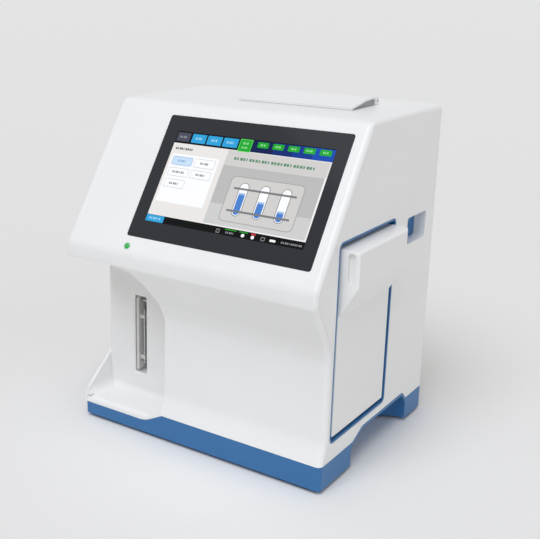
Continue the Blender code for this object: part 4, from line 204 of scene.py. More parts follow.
def moulded(name, code, roughness, grain=FINE_GRAIN, depth=0.06, ior=1.53):
    """A moulded or coated surface: a fine grain and a faint mottle.

    The grain that a spark-eroded tool leaves is about a fifth of a millimetre, too
    fine to show.  It is drawn coarser, so that it softens the highlights.
    """
    material, tree, shader = new_material(name)
    place = add_node(tree, "ShaderNodeTexCoord").outputs["Object"]
    colour = linear(code)
    mottle = add_node(
        tree, "ShaderNodeTexNoise", [(place, "Vector")], Scale=1 / MOTTLE_SIZE, Detail=3.0,
        Roughness=0.5)
    tint = add_node(tree, "ShaderNodeValToRGB", [(mottle.outputs["Fac"], "Fac")])
    tint.color_ramp.elements[0].position = 0.30
    tint.color_ramp.elements[0].color = (*[c * 0.975 for c in colour], 1)
    tint.color_ramp.elements[1].position = 0.70
    tint.color_ramp.elements[1].color = (*colour, 1)
    tree.links.new(tint.outputs["Color"], shader.inputs["Base Color"])
    texture = add_node(
        tree, "ShaderNodeTexNoise", [(place, "Vector")], Scale=1 / grain, Detail=2.0,
        Roughness=0.6)
    bump = add_node(
        tree, "ShaderNodeBump", [(texture.outputs["Fac"], "Height")], Strength=depth,
        Distance=grain / 3)
    tree.links.new(bump.outputs["Normal"], shader.inputs["Normal"])
    sheen = add_node(
        tree, "ShaderNodeMapRange", [(mottle.outputs["Fac"], "Value")],
        to_min=roughness - 0.03, to_max=roughness + 0.04)
    tree.links.new(sheen.outputs["Result"], shader.inputs["Roughness"])
    shader.inputs["IOR"].default_value = ior
    return material


MATERIALS = {}


def material_of(name):
    """The named finish, made once."""
    if name not in MATERIALS:
        MATERIALS[name] = FINISHES[name]()
    return MATERIALS[name]


def white_abs():
    """White ABS, moulded in an eroded tool: an even satin with broad, soft highlights."""
    return moulded("white_abs_satin", "#F0F0EF", 0.34)


def blue_abs():
    """Blue ABS, moulded: a full, even blue under the same satin as the covers."""
    return moulded("blue_abs_satin", "#2A6DA6", 0.36)


def grey_abs():
    """Grey ABS, moulded: matte, with only a broad, faint highlight."""
    return moulded("grey_abs_matte", "#9C9EA1", 0.5)


def light_grey_abs():
    """Light grey ABS, moulded: the lever's satin. The lever is white like the covers; its grey is
    painted shade of the slot.
    """
    return moulded("light_grey_abs", "#D2D2CF", 0.38)


def dark_abs():
    """Charcoal ABS, moulded: a matte dark grey, a step lighter than the nylon."""
    return moulded("dark_abs_matte", "#2A2C2F", 0.5)


def black_nylon():
    """Black nylon, moulded: nearly black, with a dull sheen."""
    return moulded("black_nylon", "#17181A", 0.45)


def foot_rubber():
    """Black rubber, moulded: matte, with a soft uneven sheen."""
    return moulded("foot_rubber", "#1B1B1C", 0.75, grain=1.2 * MM, depth=0.15, ior=1.52)


def silicone():
    """Silicone, extruded as a tube: milky, soft, and lit a little from within."""
    material = moulded("milky_silicone", "#D9D7CF", 0.4, grain=1 * MM, ior=1.41)
    shader = material.node_tree.nodes["Principled BSDF"]
    shader.inputs["Subsurface Weight"].default_value = 0.3
    shader.inputs["Subsurface Scale"].default_value = 2 * MM
    return material


def paper():
    """Thermal paper, coated and rolled: a flat warm white; its fibres are drawn coarser."""
    return moulded("thermal_paper", "#F1F0EA", 0.85, grain=0.8 * MM, depth=0.12, ior=1.45)


def bag_film():
    """Metallised film, laminated and welded into a bag: silvery, with soft wrinkles."""
    material = moulded("bag_film", "#B9C0C8", 0.28, grain=12 * MM, depth=0.5)
    material.node_tree.nodes["Principled BSDF"].inputs["Metallic"].default_value = 0.35
    return material


def cover_glass():
    """Float glass printed on its back: a deep, even dark grey under a clear gloss.

    Faint smears from cleaning keep the gloss from looking perfect.
    """
    material, tree, shader = new_material("printed_cover_glass")
    place = add_node(tree, "ShaderNodeTexCoord").outputs["Object"]
    haze = add_node(
        tree, "ShaderNodeTexNoise", [(place, "Vector")], Scale=1 / SMEAR_SIZE, Detail=4.0,
        Roughness=0.6)
    smear = add_node(
        tree, "ShaderNodeMapRange", [(haze.outputs["Fac"], "Value")], to_min=0.06, to_max=0.12)
    tree.links.new(smear.outputs["Result"], shader.inputs["Roughness"])
    shader.inputs["Base Color"].default_value = (*linear("#202329"), 1)
    shader.inputs["IOR"].default_value = 1.51
    shader.inputs["Specular IOR Level"].default_value = 0.3
    return material


def green_lens():
    """Green acrylic, moulded as a light pipe: a deep, wet green that glows inside."""
    material, tree, shader = new_material("green_light_pipe")
    shader.inputs["Base Color"].default_value = (*linear("#1F8C3C"), 1)
    shader.inputs["Roughness"].default_value = 0.15
    shader.inputs["IOR"].default_value = 1.49
    shader.inputs["Emission Color"].default_value = (*linear("#35D05A"), 1)
    shader.inputs["Emission Strength"].default_value = 0.25
    place = add_node(tree, "ShaderNodeTexCoord").outputs["Object"]
    ripple = add_node(
        tree, "ShaderNodeTexNoise", [(place, "Vector")], Scale=1 / RIPPLE_SIZE, Detail=1.0)
    bump = add_node(
        tree, "ShaderNodeBump", [(ripple.outputs["Fac"], "Height")], Strength=0.1,
        Distance=0.2 * MM)
    tree.links.new(bump.outputs["Normal"], shader.inputs["Normal"])
    return material


def metal(name, code, roughness, streak):
    """Drawn or rolled metal: fine streaks in its gloss, drawn coarser than the real ones."""
    material, tree, shader = new_material(name)
    place = add_node(tree, "ShaderNodeTexCoord").outputs["Object"]
    stretch = add_node(
        tree, "ShaderNodeMapping", [(place, "Vector")], Scale=[1 / length for length in streak])
    grain = add_node(
        tree, "ShaderNodeTexNoise", [(stretch.outputs["Vector"], "Vector")], Scale=1.0, Detail=3.0)
    sheen = add_node(
        tree, "ShaderNodeMapRange", [(grain.outputs["Fac"], "Value")],
        to_min=roughness - 0.06, to_max=roughness + 0.08)
    tree.links.new(sheen.outputs["Result"], shader.inputs["Roughness"])
    shader.inputs["Base Color"].default_value = (*linear(code), 1)
    shader.inputs["Metallic"].default_value = 1.0
    return material


def drawn_steel():
    """Stainless steel, drawn: bright, with fine upright streaks."""
    return metal("drawn_steel", "#C4C6C9", 0.24, DRAWN_STREAK)


def plated_steel():
    """Steel sheet, rolled and zinc-plated: a soft grey, streaked from front to back."""
    return metal("zinc_plated_sheet", "#B6B9BC", 0.36, ROLLED_STREAK)


def clear_acrylic():
    """Clear acrylic, polished: see-through, with bright edges and a faint cool tint."""
    material, tree, shader = new_material("clear_acrylic")
    place = add_node(tree, "ShaderNodeTexCoord").outputs["Object"]
    polish = add_node(
        tree, "ShaderNodeTexNoise", [(place, "Vector")], Scale=1 / POLISH_SIZE, Detail=2.0)
    sheen = add_node(
        tree, "ShaderNodeMapRange", [(polish.outputs["Fac"], "Value")], to_min=0.05, to_max=0.10)
    tree.links.new(sheen.outputs["Result"], shader.inputs["Roughness"])
    shader.inputs["Base Color"].default_value = (*linear("#DCE6EA"), 1)
    shader.inputs["IOR"].default_value = 1.49
    shader.inputs["Transmission Weight"].default_value = 0.85
    return material


def solder_mask():
    """Solder mask, printed over copper: a half-gloss green with paler traces."""
    material, tree, shader = new_material("green_solder_mask")
    place = add_node(tree, "ShaderNodeTexCoord").outputs["Object"]
    traces = add_node(
        tree, "ShaderNodeTexVoronoi", [(place, "Vector")], Scale=1 / TRACE_SIZE,
        distance="MANHATTAN")
    tone = add_node(tree, "ShaderNodeValToRGB", [(traces.outputs["Distance"], "Fac")])
    tone.color_ramp.elements[0].color = (*linear("#0F4A2A"), 1)
    tone.color_ramp.elements[1].color = (*linear("#1C6B3D"), 1)
    tree.links.new(tone.outputs["Color"], shader.inputs["Base Color"])
    shader.inputs["Roughness"].default_value = 0.35
    return material


def lit(name, code, glow):
    """A liquid-crystal display, lit from behind: a flat, clear colour that glows evenly.

    Real pixels are finer than 0.2 mm.  They are drawn coarser, as a bare flicker.
    """
    material, tree, shader = new_material(name)
    place = add_node(tree, "ShaderNodeTexCoord").outputs["Object"]
    pixels = add_node(
        tree, "ShaderNodeTexNoise", [(place, "Vector")], Scale=1 / PIXEL_SIZE, Detail=0.0)
    tint = add_node(tree, "ShaderNodeValToRGB", [(pixels.outputs["Fac"], "Fac")])
    colour = linear(code)
    tint.color_ramp.elements[0].color = (*[c * PAGE_ALBEDO * 0.97 for c in colour], 1)
    tint.color_ramp.elements[1].color = (*[c * PAGE_ALBEDO for c in colour], 1)
    tree.links.new(tint.outputs["Color"], shader.inputs["Base Color"])
    shader.inputs["Roughness"].default_value = 0.12
    shader.inputs["IOR"].default_value = 1.51
    shader.inputs["Specular IOR Level"].default_value = 0.12
    shader.inputs["Emission Color"].default_value = (*colour, 1)
    shader.inputs["Emission Strength"].default_value = glow
    return material


FINISHES = {
    "white_abs": white_abs,
    "blue_abs": blue_abs,
    "grey_abs": grey_abs,
    "light_grey_abs": light_grey_abs,
    "dark_abs": dark_abs,
    "black_plastic": black_nylon,
    "screen_glass": cover_glass,
    "green_lens": green_lens,
    "rubber": foot_rubber,
    "steel": drawn_steel,
    "sheet_steel": plated_steel,
    "paper": paper,
    "clear_acrylic": clear_acrylic,
    "circuit_board": solder_mask,
    "silicone": silicone,
    "bag_film": bag_film,
}


# Meshes


def new_piece(name, bm, material, body):
    """An object from a bmesh, riding on a body of the frame."""
    mesh = bpy.data.meshes.new(name)
    bm.to_mesh(mesh)
    bm.free()
    obj = bpy.data.objects.new(name, mesh)
    bpy.context.scene.collection.objects.link(obj)
    mesh.materials.append(material)
    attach(obj, body)
    return obj


def body_of(node):
    """The body that a node of the frame rides on."""
    return frame["nodes"][node]["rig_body"]


def slot_of(node):
    """The record's material slot of a node."""
    for entry in frame["record"]["subparts"]:
        if entry["node"] == node:
            return entry["material_slot"]
    raise ValueError(f"no material slot for {node}")


def soften(obj, width):
    """Round the sharp edges a little and keep large faces flat in the shading."""
    obj.data.shade_smooth()
    obj.data.set_sharp_from_angle(angle=CREASE_ANGLE)
    if width > 0:
        rounding = obj.modifiers.new("edge rounding", "BEVEL")
        rounding.width = width
        rounding.segments = 2
        rounding.limit_method = "ANGLE"
        rounding.angle_limit = CREASE_ANGLE
        rounding.miter_outer = "MITER_ARC"
    shading = obj.modifiers.new("even shading", "WEIGHTED_NORMAL")
    shading.keep_sharp = True
    shading.weight = 50
    return obj


def finished_copy(node, finish, edge):
    """A merged copy of a node with rounded edges and its finish, in its place.

    Only triangles in one plane are joined, so that the bevel has true faces to work on.
    """
    bm = bmesh.new()
    bm.from_mesh(frame["nodes"][node].data)
    bmesh.ops.remove_doubles(bm, verts=bm.verts, dist=MERGE_DISTANCE)
    bmesh.ops.join_triangles(
        bm, faces=bm.faces, angle_face_threshold=FLAT_ANGLE, angle_shape_threshold=math.pi)
    slot = slot_of(node)
    obj = new_piece(
        f"{node}_finish", bm, material_of(finish or slot), body_of(node))
    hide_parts(node)
    return soften(obj, edge)


def rounded_rectangle(left, top, right, bottom, radius):
    """The points of a rounded rectangle, counter-clockwise from the lower left."""
    radius = min(radius, (right - left) / 2, abs(top - bottom) / 2)
    centres = (
        (left + radius, bottom + radius, math.pi),
        (right - radius, bottom + radius, math.pi * 1.5),
        (right - radius, top - radius, 0),
        (left + radius, top - radius, math.pi / 2),
    )
    steps = max(1, math.ceil(math.pi / 2 / ARC_STEP)) if radius > 0 else 0
    points = []
    for u, v, start in centres:
        for i in range(steps + 1):
            angle = start + (math.pi / 2 * i / steps if steps else 0)
            points.append((u + radius * math.cos(angle), v + radius * math.sin(angle)))
    return points


def add_plate(bm, points, low, high, material_index=0):
    """A flat plate on an outline, added to a bmesh."""
    face = bm.faces.new([bm.verts.new((u, v, low)) for u, v in points])
    grown = bmesh.ops.extrude_face_region(bm, geom=[face])
    verts = [item for item in grown["geom"] if isinstance(item, bmesh.types.BMVert)]
    faces = {f for vert in verts for f in vert.link_faces} | {face}
    bmesh.ops.translate(bm, verts=verts, vec=(0, 0, high - low))
    for f in faces:
        f.material_index = material_index
    return faces


# The sampling niche


def add_loft(bm, rings):
    """A closed body through rings of points."""
    rows = [[bm.verts.new(point) for point in ring] for ring in rings]
    for row, after in zip(rows, rows[1:]):
        for i in range(len(row)):
            j = (i + 1) % len(row)
            bm.faces.new((row[i], row[j], after[j], after[i]))
    bm.faces.new(rows[0])
    bm.faces.new(list(reversed(rows[-1])))
    bmesh.ops.recalc_face_normals(bm, faces=bm.faces)
    return bm


def hollow_rings(left, front, floor, slope):
    """Sections of the hollow, from the lip to just inside the niche's wall."""
    inner = left + CHEEK_THICKNESS
    first = front + NICHE_LIP_ROUND
    length = NICHE_DEPTH - NICHE_LIP_ROUND + CORNER_ROUND / 2
    steps = math.ceil(math.pi / 2 / ARC_STEP)
    rings = []
    for i in range(BLEND_RINGS + 1):
        y = first + length * i / BLEND_RINGS
        rise = CHEEK_RISE_FRONT + slope * (y - front)
        radius = min(BLEND_RADIUS, rise * BLEND_RISE_SHARE)
        ring = [(inner - CHEEK_THICKNESS / 2, y, floor - CHEEK_THICKNESS)]
        ring.append((inner - CHEEK_THICKNESS / 2, y, floor + radius))
        for j in range(steps + 1):
            angle = math.pi / 2 * j / steps
            ring.append((
                inner - SINK + radius * (1 - math.cos(angle)), y,
                floor - SINK + radius * (1 - math.sin(angle))))
        ring.append((inner + radius, y, floor - CHEEK_THICKNESS))
        rings.append(ring)
    return rings


def make_cheek_blend():
    """The soft hollow between the niche's cheek, platform and wall, and its corners."""
    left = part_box("front_cover")[0].x
    tray_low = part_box("base_tray")[0]
    front, floor = tray_low.y, tray_low.z + NICHE_FLOOR
    wall = front + NICHE_DEPTH
    slope = (CHEEK_RISE_BACK - CHEEK_RISE_FRONT) / NICHE_DEPTH
    bm = add_loft(bmesh.new(), hollow_rings(left, front, floor, slope))

    # The pit behind the cheek, up to where the wall's edge is round
    low, high = floor - CHEEK_THICKNESS, floor + CHEEK_RISE_BACK
    rings = []
    for y, top in ((wall + SINK, high), (wall + CORNER_ROUND, high + slope * CORNER_ROUND)):
        rings.append([
            (left + SINK, y, low), (left + CORNER_ROUND, y, low),
            (left + CORNER_ROUND, y, top), (left + SINK, y, top)])
    add_loft(bm, rings)

    # The cover's side above the niche's ceiling, where its corner is cut open
    ceiling, brow = tray_low.z + NICHE_CEILING, tray_low.z + BROW_BOTTOM
    outline = (
        (wall - CAP_FORWARD, ceiling + CAP_FORWARD * CAP_SLOPE_SHARE), (wall, ceiling),
        (wall + CORNER_ROUND, ceiling), (wall + CORNER_ROUND, brow + SINK * 2),
        (wall - CAP_FORWARD, brow + SINK * 2))
    add_loft(bm, [
        [(x, y, z) for y, z in outline] for x in (left + SINK, left + CHEEK_THICKNESS)])
    blend = new_piece("cheek_blend", bm, material_of("white_abs"), "housing")
    return soften(blend, 0)


# The page on the screen


def glass_matrix():
    """From the page (right, up, out), from its upper left corner, to the frame."""
    low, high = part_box("screen_glass")
    top = Vector((
        low.x + PAGE_MARGIN_LEFT,
        high.y - GLASS_THICKNESS * math.cos(SLOPE_ANGLE),
        high.z,
    ))
    turn = Matrix.Rotation(math.pi / 2 - SLOPE_ANGLE, 4, "X")
    down = turn.to_3x3() @ Vector((0, -PAGE_MARGIN_TOP, 0))
    return Matrix.Translation(top + down) @ turn


def page_size():
    """The width and height of the lit page."""
    low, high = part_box("screen_glass")
    width = high.x - low.x - PAGE_MARGIN_LEFT - PAGE_MARGIN_RIGHT
    slope = (high.z - low.z - GLASS_THICKNESS * math.sin(SLOPE_ANGLE)) / math.cos(SLOPE_ANGLE)
    return width, slope - PAGE_MARGIN_TOP - PAGE_MARGIN_BOTTOM


PAGE_COLOURS = {
    "black": "#040506",
    "paper": "#ECE9E6",
    "white": "#FDFDFE",
    "slate": "#4A4E5E",
    "sky": "#2FA3DC",
    "pale_sky": "#9AD3F2",
    "lime": "#1FA82F",
    "bright_lime": "#5BD862",
    "pale_lime": "#8FE095",
    "navy": "#081F52",
    "deep": "#0B2C74",
    "marine": "#0E3A93",
    "royal": "#124AB2",
    "pale_blue": "#CBE3F9",
    "blue_line": "#8FB4DC",
    "line": "#B4B7BB",
    "header": "#D3D1CE",
    "sage": "#5E8F72",
    "picture": "#BDBDBC",
    "light_picture": "#D0D0CF",
    "shade": "#9FA0A1",
    "dark_shade": "#7C7E80",
    "azure": "#4B83CF",
    "pale_azure": "#9DBEE8",
    "grey_text": "#8C8F93",
    "dark_text": "#5A5D62",
    "red": "#C8323A",
}

# Each row: layer, left, top, right, bottom and corner as shares of the page, colour
PAGE_SHARES = (
    (0, 0.000, 0.000, 1.000, 1.000, 0.000, "black"),
    (1, 0.000, 0.132, 1.000, 0.925, 0.000, "paper"),
    (1, 0.508, 0.008, 0.640, 0.132, 0.000, "navy"),
    (1, 0.640, 0.008, 0.760, 0.132, 0.000, "deep"),
    (1, 0.760, 0.008, 0.880, 0.132, 0.000, "marine"),
    (1, 0.880, 0.008, 1.000, 0.132, 0.000, "royal"),
    (2, 0.006, 0.014, 0.094, 0.110, 0.000, "slate"),
    (2, 0.108, 0.014, 0.202, 0.112, 0.003, "sky"),
    (2, 0.212, 0.014, 0.308, 0.112, 0.003, "sky"),
    (2, 0.318, 0.014, 0.414, 0.112, 0.003, "sky"),
    (2, 0.424, 0.006, 0.504, 0.140, 0.004, "bright_lime"),
    (3, 0.429, 0.014, 0.499, 0.132, 0.003, "lime"),
    (2, 0.538, 0.018, 0.606, 0.078, 0.006, "lime"),
    (2, 0.632, 0.018, 0.700, 0.078, 0.006, "lime"),
    (2, 0.726, 0.018, 0.794, 0.078, 0.006, "lime"),
    (2, 0.820, 0.018, 0.888, 0.078, 0.006, "lime"),
    (2, 0.914, 0.018, 0.982, 0.078, 0.006, "lime"),
    (2, 0.016, 0.250, 0.336, 0.775, 0.008, "white"),
    (3, 0.030, 0.275, 0.168, 0.370, 0.010, "blue_line"),
    (3, 0.182, 0.275, 0.318, 0.370, 0.010, "line"),
    (3, 0.030, 0.400, 0.168, 0.490, 0.010, "line"),
    (3, 0.182, 0.400, 0.318, 0.490, 0.010, "line"),
    (3, 0.030, 0.525, 0.168, 0.615, 0.010, "line"),
    (4, 0.033, 0.281, 0.165, 0.364, 0.008, "pale_blue"),
    (4, 0.184, 0.279, 0.316, 0.366, 0.009, "white"),
    (4, 0.032, 0.404, 0.166, 0.486, 0.009, "white"),
    (4, 0.184, 0.404, 0.316, 0.486, 0.009, "white"),
    (4, 0.032, 0.529, 0.166, 0.611, 0.009, "white"),
    (2, 0.372, 0.140, 0.994, 0.300, 0.000, "header"),
    (2, 0.372, 0.300, 0.994, 0.914, 0.000, "picture"),
    (3, 0.372, 0.700, 0.994, 0.914, 0.000, "light_picture"),
    (3, 0.990, 0.290, 0.996, 0.920, 0.000, "white"),
    (3, 0.372, 0.912, 0.996, 0.920, 0.000, "white"),
    (2, 0.000, 0.928, 0.120, 0.998, 0.000, "sky"),
    (2, 0.470, 0.948, 0.492, 0.988, 0.002, "grey_text"),
    (3, 0.474, 0.956, 0.488, 0.980, 0.002, "black"),
    (2, 0.520, 0.934, 0.594, 0.944, 0.000, "lime"),
    (2, 0.612, 0.934, 0.664, 0.944, 0.000, "lime"),
    (2, 0.628, 0.954, 0.648, 0.988, 0.010, "white"),
    (2, 0.684, 0.932, 0.712, 0.950, 0.004, "red"),
    (2, 0.688, 0.954, 0.708, 0.990, 0.010, "white"),
    (2, 0.748, 0.950, 0.772, 0.988, 0.004, "grey_text"),
    (3, 0.752, 0.957, 0.768, 0.981, 0.002, "black"),
    (2, 0.800, 0.958, 0.836, 0.980, 0.010, "white"),
)

# A row of marks: layer, left, middle, right and height as shares, how many, colour
MARK_SHARES = (
    (3, 0.024, 0.062, 0.076, 0.022, 4, "grey_text"),
    (3, 0.132, 0.062, 0.178, 0.024, 4, "pale_sky"),
    (3, 0.240, 0.062, 0.280, 0.024, 3, "pale_sky"),
    (3, 0.340, 0.062, 0.392, 0.024, 5, "pale_sky"),
    (4, 0.446, 0.050, 0.482, 0.024, 3, "pale_lime"),
    (4, 0.444, 0.096, 0.484, 0.020, 4, "pale_lime"),
    (3, 0.556, 0.048, 0.588, 0.020, 3, "pale_lime"),
    (3, 0.648, 0.048, 0.684, 0.020, 4, "pale_lime"),
    (3, 0.744, 0.048, 0.776, 0.020, 3, "pale_lime"),
    (3, 0.834, 0.048, 0.874, 0.020, 4, "pale_lime"),
    (3, 0.932, 0.048, 0.964, 0.020, 3, "pale_lime"),
    (2, 0.024, 0.190, 0.146, 0.022, 9, "dark_text"),
    (5, 0.068, 0.322, 0.130, 0.022, 5, "blue_line"),
    (5, 0.222, 0.322, 0.280, 0.022, 4, "grey_text"),
    (5, 0.058, 0.445, 0.140, 0.022, 7, "grey_text"),
    (5, 0.218, 0.445, 0.284, 0.022, 5, "grey_text"),
    (5, 0.066, 0.570, 0.132, 0.022, 5, "grey_text"),
    (3, 0.424, 0.218, 0.926, 0.028, 26, "sage"),
    (3, 0.020, 0.962, 0.100, 0.024, 6, "pale_sky"),
    (2, 0.530, 0.970, 0.586, 0.018, 5, "grey_text"),
    (2, 0.868, 0.968, 0.992, 0.018, 11, "grey_text"),
)
MARK_WIDTH_SHARES = (0.72, 0.50, 0.84, 0.62, 0.40, 0.78, 0.66)

# A plain diagram of sample tubes in a rack, in the same way as the page
DIAGRAM_SHARES = (
    (4, 0.455, 0.395, 0.905, 0.865, 0.030, "shade"),
    (5, 0.459, 0.402, 0.901, 0.858, 0.027, "header"),
    (6, 0.520, 0.452, 0.580, 0.800, 0.030, "dark_shade"),
    (7, 0.524, 0.459, 0.576, 0.793, 0.026, "white"),
    (8, 0.530, 0.560, 0.570, 0.785, 0.020, "azure"),
    (9, 0.530, 0.560, 0.570, 0.580, 0.000, "pale_azure"),
    (6, 0.650, 0.452, 0.710, 0.800, 0.030, "dark_shade"),
    (7, 0.654, 0.459, 0.706, 0.793, 0.026, "white"),
    (8, 0.660, 0.620, 0.700, 0.785, 0.020, "azure"),
    (9, 0.660, 0.620, 0.700, 0.640, 0.000, "pale_azure"),
    (6, 0.780, 0.452, 0.840, 0.800, 0.030, "dark_shade"),
    (7, 0.784, 0.459, 0.836, 0.793, 0.026, "white"),
    (8, 0.790, 0.680, 0.830, 0.785, 0.020, "azure"),
    (9, 0.790, 0.680, 0.830, 0.700, 0.000, "pale_azure"),
    (10, 0.488, 0.510, 0.872, 0.530, 0.003, "dark_shade"),
    (10, 0.488, 0.740, 0.872, 0.760, 0.003, "dark_shade"),
)


def mark_rows(rows):
    """The rows of marks as rows of small plates, like lines of writing seen from afar."""
    plates = []
    for layer, left, middle, right, height, count, colour in rows:
        step = (right - left) / count
        for i in range(count):
            start = left + step * i
            end = start + step * MARK_WIDTH_SHARES[i % len(MARK_WIDTH_SHARES)]
            plates.append((
                layer, start, middle - height / 2, end, middle + height / 2, 0.0, colour))
    return tuple(plates)


def make_areas(name, shares, size, matrix, finish):
    """Thin plates in layers; each has its place in shares of the size, and its finish."""
    width, height = size
    bm = bmesh.new()
    order = list(dict.fromkeys(row[-1] for row in shares))
    for layer, left, top, right, bottom, corner, colour in shares:
        points = rounded_rectangle(
            left * width, -top * height, right * width, -bottom * height, corner * width)
        add_plate(bm, points, PAGE_LAYER * layer, PAGE_LAYER * (layer + 1), order.index(colour))
    bmesh.ops.transform(bm, matrix=matrix, verts=bm.verts)
    bmesh.ops.recalc_face_normals(bm, faces=bm.faces)
    areas = new_piece(name, bm, finish(order[0]), "housing")
    for colour in order[1:]:
        areas.data.materials.append(finish(colour))
    return areas


def make_page(name, shares):
    """Lit areas of the page, on the cover glass."""
    return make_areas(name, shares, page_size(), glass_matrix(), lit_colour)


def lit_colour(name):
    """The lit finish of one of the page's colours, made once."""
    key = f"page_{name}"
    if key not in MATERIALS:
        MATERIALS[key] = lit(key, PAGE_COLOURS[name], PAGE_GLOW)
    return MATERIALS[key]


# The rear panel's fittings, and the ring of the status light


def add_turned(bm, profile, matrix):
    """A body turned about the matrix's Z axis, from its outline (radius, height)."""
    before = set(bm.verts)
    verts = [bm.verts.new((radius, 0, height)) for radius, height in profile]
    edges = [bm.edges.new(pair) for pair in zip(verts, verts[1:])]
    bmesh.ops.spin(
        bm, geom=verts + edges, cent=(0, 0, 0), axis=(0, 0, 1), angle=math.tau,
        steps=TURN_STEPS, use_merge=True)
    turned = [vert for vert in bm.verts if vert not in before]
    bmesh.ops.remove_doubles(bm, verts=turned, dist=MERGE_DISTANCE / 4)
    turned = [vert for vert in bm.verts if vert not in before]
    faces = list({face for vert in turned for face in vert.link_faces})
    bmesh.ops.recalc_face_normals(bm, faces=faces)
    bmesh.ops.transform(bm, matrix=matrix, verts=turned)


def rear_matrix(x, z):
    """A place on the rear panel's outer face; right, up and out as seen from behind."""
    turn = Matrix(((-1, 0, 0), (0, 0, 1), (0, 1, 0))).to_4x4()
    return Matrix.Translation((x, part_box("rear_panel")[1].y, z)) @ turn


def screw_places():
    """Where the screws sit: round the rear panel, and at the fan's four corners."""
    low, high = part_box("rear_panel")
    fan_low, fan_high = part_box("fan_frame")
    middle = (low.z + high.z) / 2
    places = [
        (x, z)
        for x in (low.x + SCREW_INSET, high.x - SCREW_INSET)
        for z in (low.z + SCREW_INSET, middle, high.z - SCREW_INSET)
    ]
    return places + [
        (x, z)
        for x in (fan_low.x + FAN_SCREW_INSET, fan_high.x - FAN_SCREW_INSET)
        for z in (fan_low.z + FAN_SCREW_INSET, fan_high.z - FAN_SCREW_INSET)
    ]


def make_screws():
    """Pan-head screws; their cross recess is not cut but painted shade: a flat dark cross on the
    head.
    """
    height = SCREW_HEIGHT
    profile = [(0, -SINK), (SCREW_RADIUS, -SINK)]
    profile += [(SCREW_RADIUS * across, height * up) for across, up in SCREW_HEAD_SHARES]
    arm, half = SCREW_RADIUS * CROSS_ARM_SHARE, SCREW_RADIUS * CROSS_HALF_SHARE
    cross = (
        (half, half), (half, arm), (-half, arm), (-half, half), (-arm, half), (-arm, -half),
        (-half, -half), (-half, -arm), (half, -arm), (half, -half), (arm, -half), (arm, half))
    bm = bmesh.new()
    for x, z in screw_places():
        matrix = rear_matrix(x, z)
        add_turned(bm, profile, matrix)
        # Painted shade: the recess is a thin black plate laid on the head, not a hollow.
        faces = add_plate(bm, cross, height - SINK, height + SINK / 5, 1)
        verts = {vert for face in faces for vert in face.verts}
        bmesh.ops.transform(bm, matrix=matrix, verts=list(verts))
        bmesh.ops.recalc_face_normals(bm, faces=list(faces))
    screws = new_piece("rear_screws", bm, material_of("sheet_steel"), "housing")
    # The black nylon on the cross paints the shade of the recess.
    screws.data.materials.append(material_of("black_plastic"))
    return soften(screws, 0)


# The rating plate, and the marks on it, in the same way as the page
LABEL_SHARES = (
    (0, 0.000, 0.000, 1.000, 1.000, 0.030, "film"),
    (1, 0.020, 0.034, 0.980, 0.966, 0.022, "ink"),
    (2, 0.026, 0.044, 0.974, 0.956, 0.018, "film"),
    (3, 0.060, 0.120, 0.400, 0.240, 0.006, "ink"),
    (3, 0.700, 0.540, 0.930, 0.880, 0.000, "ink"),
    (4, 0.710, 0.556, 0.920, 0.864, 0.000, "film"),
)
LABEL_MARK_SHARES = (
    (3, 0.060, 0.340, 0.640, 0.050, 14, "ink"),
    (3, 0.060, 0.450, 0.560, 0.050, 12, "ink"),
    (3, 0.060, 0.560, 0.620, 0.050, 13, "ink"),
    (3, 0.060, 0.670, 0.480, 0.050, 10, "ink"),
    (3, 0.060, 0.780, 0.600, 0.050, 13, "ink"),
    (3, 0.060, 0.890, 0.420, 0.050, 9, "ink"),
    (5, 0.735, 0.620, 0.895, 0.060, 6, "ink"),
    (5, 0.735, 0.710, 0.895, 0.060, 5, "ink"),
    (5, 0.735, 0.800, 0.895, 0.060, 7, "ink"),
)
LABEL_COLOURS = {"film": "#D9DBDD", "ink": "#34373B"}


def printed_colour(name):
    """The printed finish of one of the label's colours, made once."""
    key = f"label_{name}"
    if key not in MATERIALS:
        MATERIALS[key] = moulded(
            key, LABEL_COLOURS[name], 0.42, grain=0.0009, depth=0.03, ior=1.5)
    return MATERIALS[key]


def make_label():
    """A rating plate without words, only marks in their place."""
    low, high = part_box("rear_panel")
    matrix = rear_matrix(high.x - LABEL_INSET_X, low.z + LABEL_TOP)
    return make_areas(
        "rating_plate", LABEL_SHARES + mark_rows(LABEL_MARK_SHARES), LABEL_SIZE, matrix,
        printed_colour)


def make_light_ring():
    """The thin ring round the status light's dome."""
    low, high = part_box("status_led")
    turn = Matrix.Rotation(math.pi / 2 - SLOPE_ANGLE, 4, "X")
    glass_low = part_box("screen_glass")[0]
    edge = Vector((0, glass_low.y, glass_low.z + GLASS_THICKNESS * math.sin(SLOPE_ANGLE)))
    along = turn.to_3x3() @ Vector((0, -1, 0))
    centre = edge + along * LED_BELOW_GLASS
    centre.x = (low.x + high.x) / 2
    profile = (
        (RING_INNER, -SINK), (RING_OUTER, -SINK), (RING_OUTER - RING_HEIGHT, RING_HEIGHT),
        (RING_INNER + RING_HEIGHT / 2, RING_HEIGHT), (RING_INNER, RING_HEIGHT / 2),
        (RING_INNER, -SINK))
    bm = bmesh.new()
    add_turned(bm, profile, Matrix.Translation(centre) @ turn)
    ring = new_piece("status_light_ring", bm, material_of("white_abs"), "housing")
    return soften(ring, 0)


# Settings and operators


class AnalyzerLook(PropertyGroup):
    """Sizes of the finish that a user would change."""

    cover_edge: FloatProperty(
        name="Cover edges", description="Rounding of the cover's sharp edges",
        default=0.0007, min=0.0, unit="LENGTH")
    pack_edge: FloatProperty(
        name="Pack edges", description="Rounding of the reagent pack's sharp edges",
        default=0.0012, min=0.0, unit="LENGTH")
    small_edge: FloatProperty(
        name="Small edges", description="Rounding of the small pieces' edges",
        default=0.0003, min=0.0, unit="LENGTH")


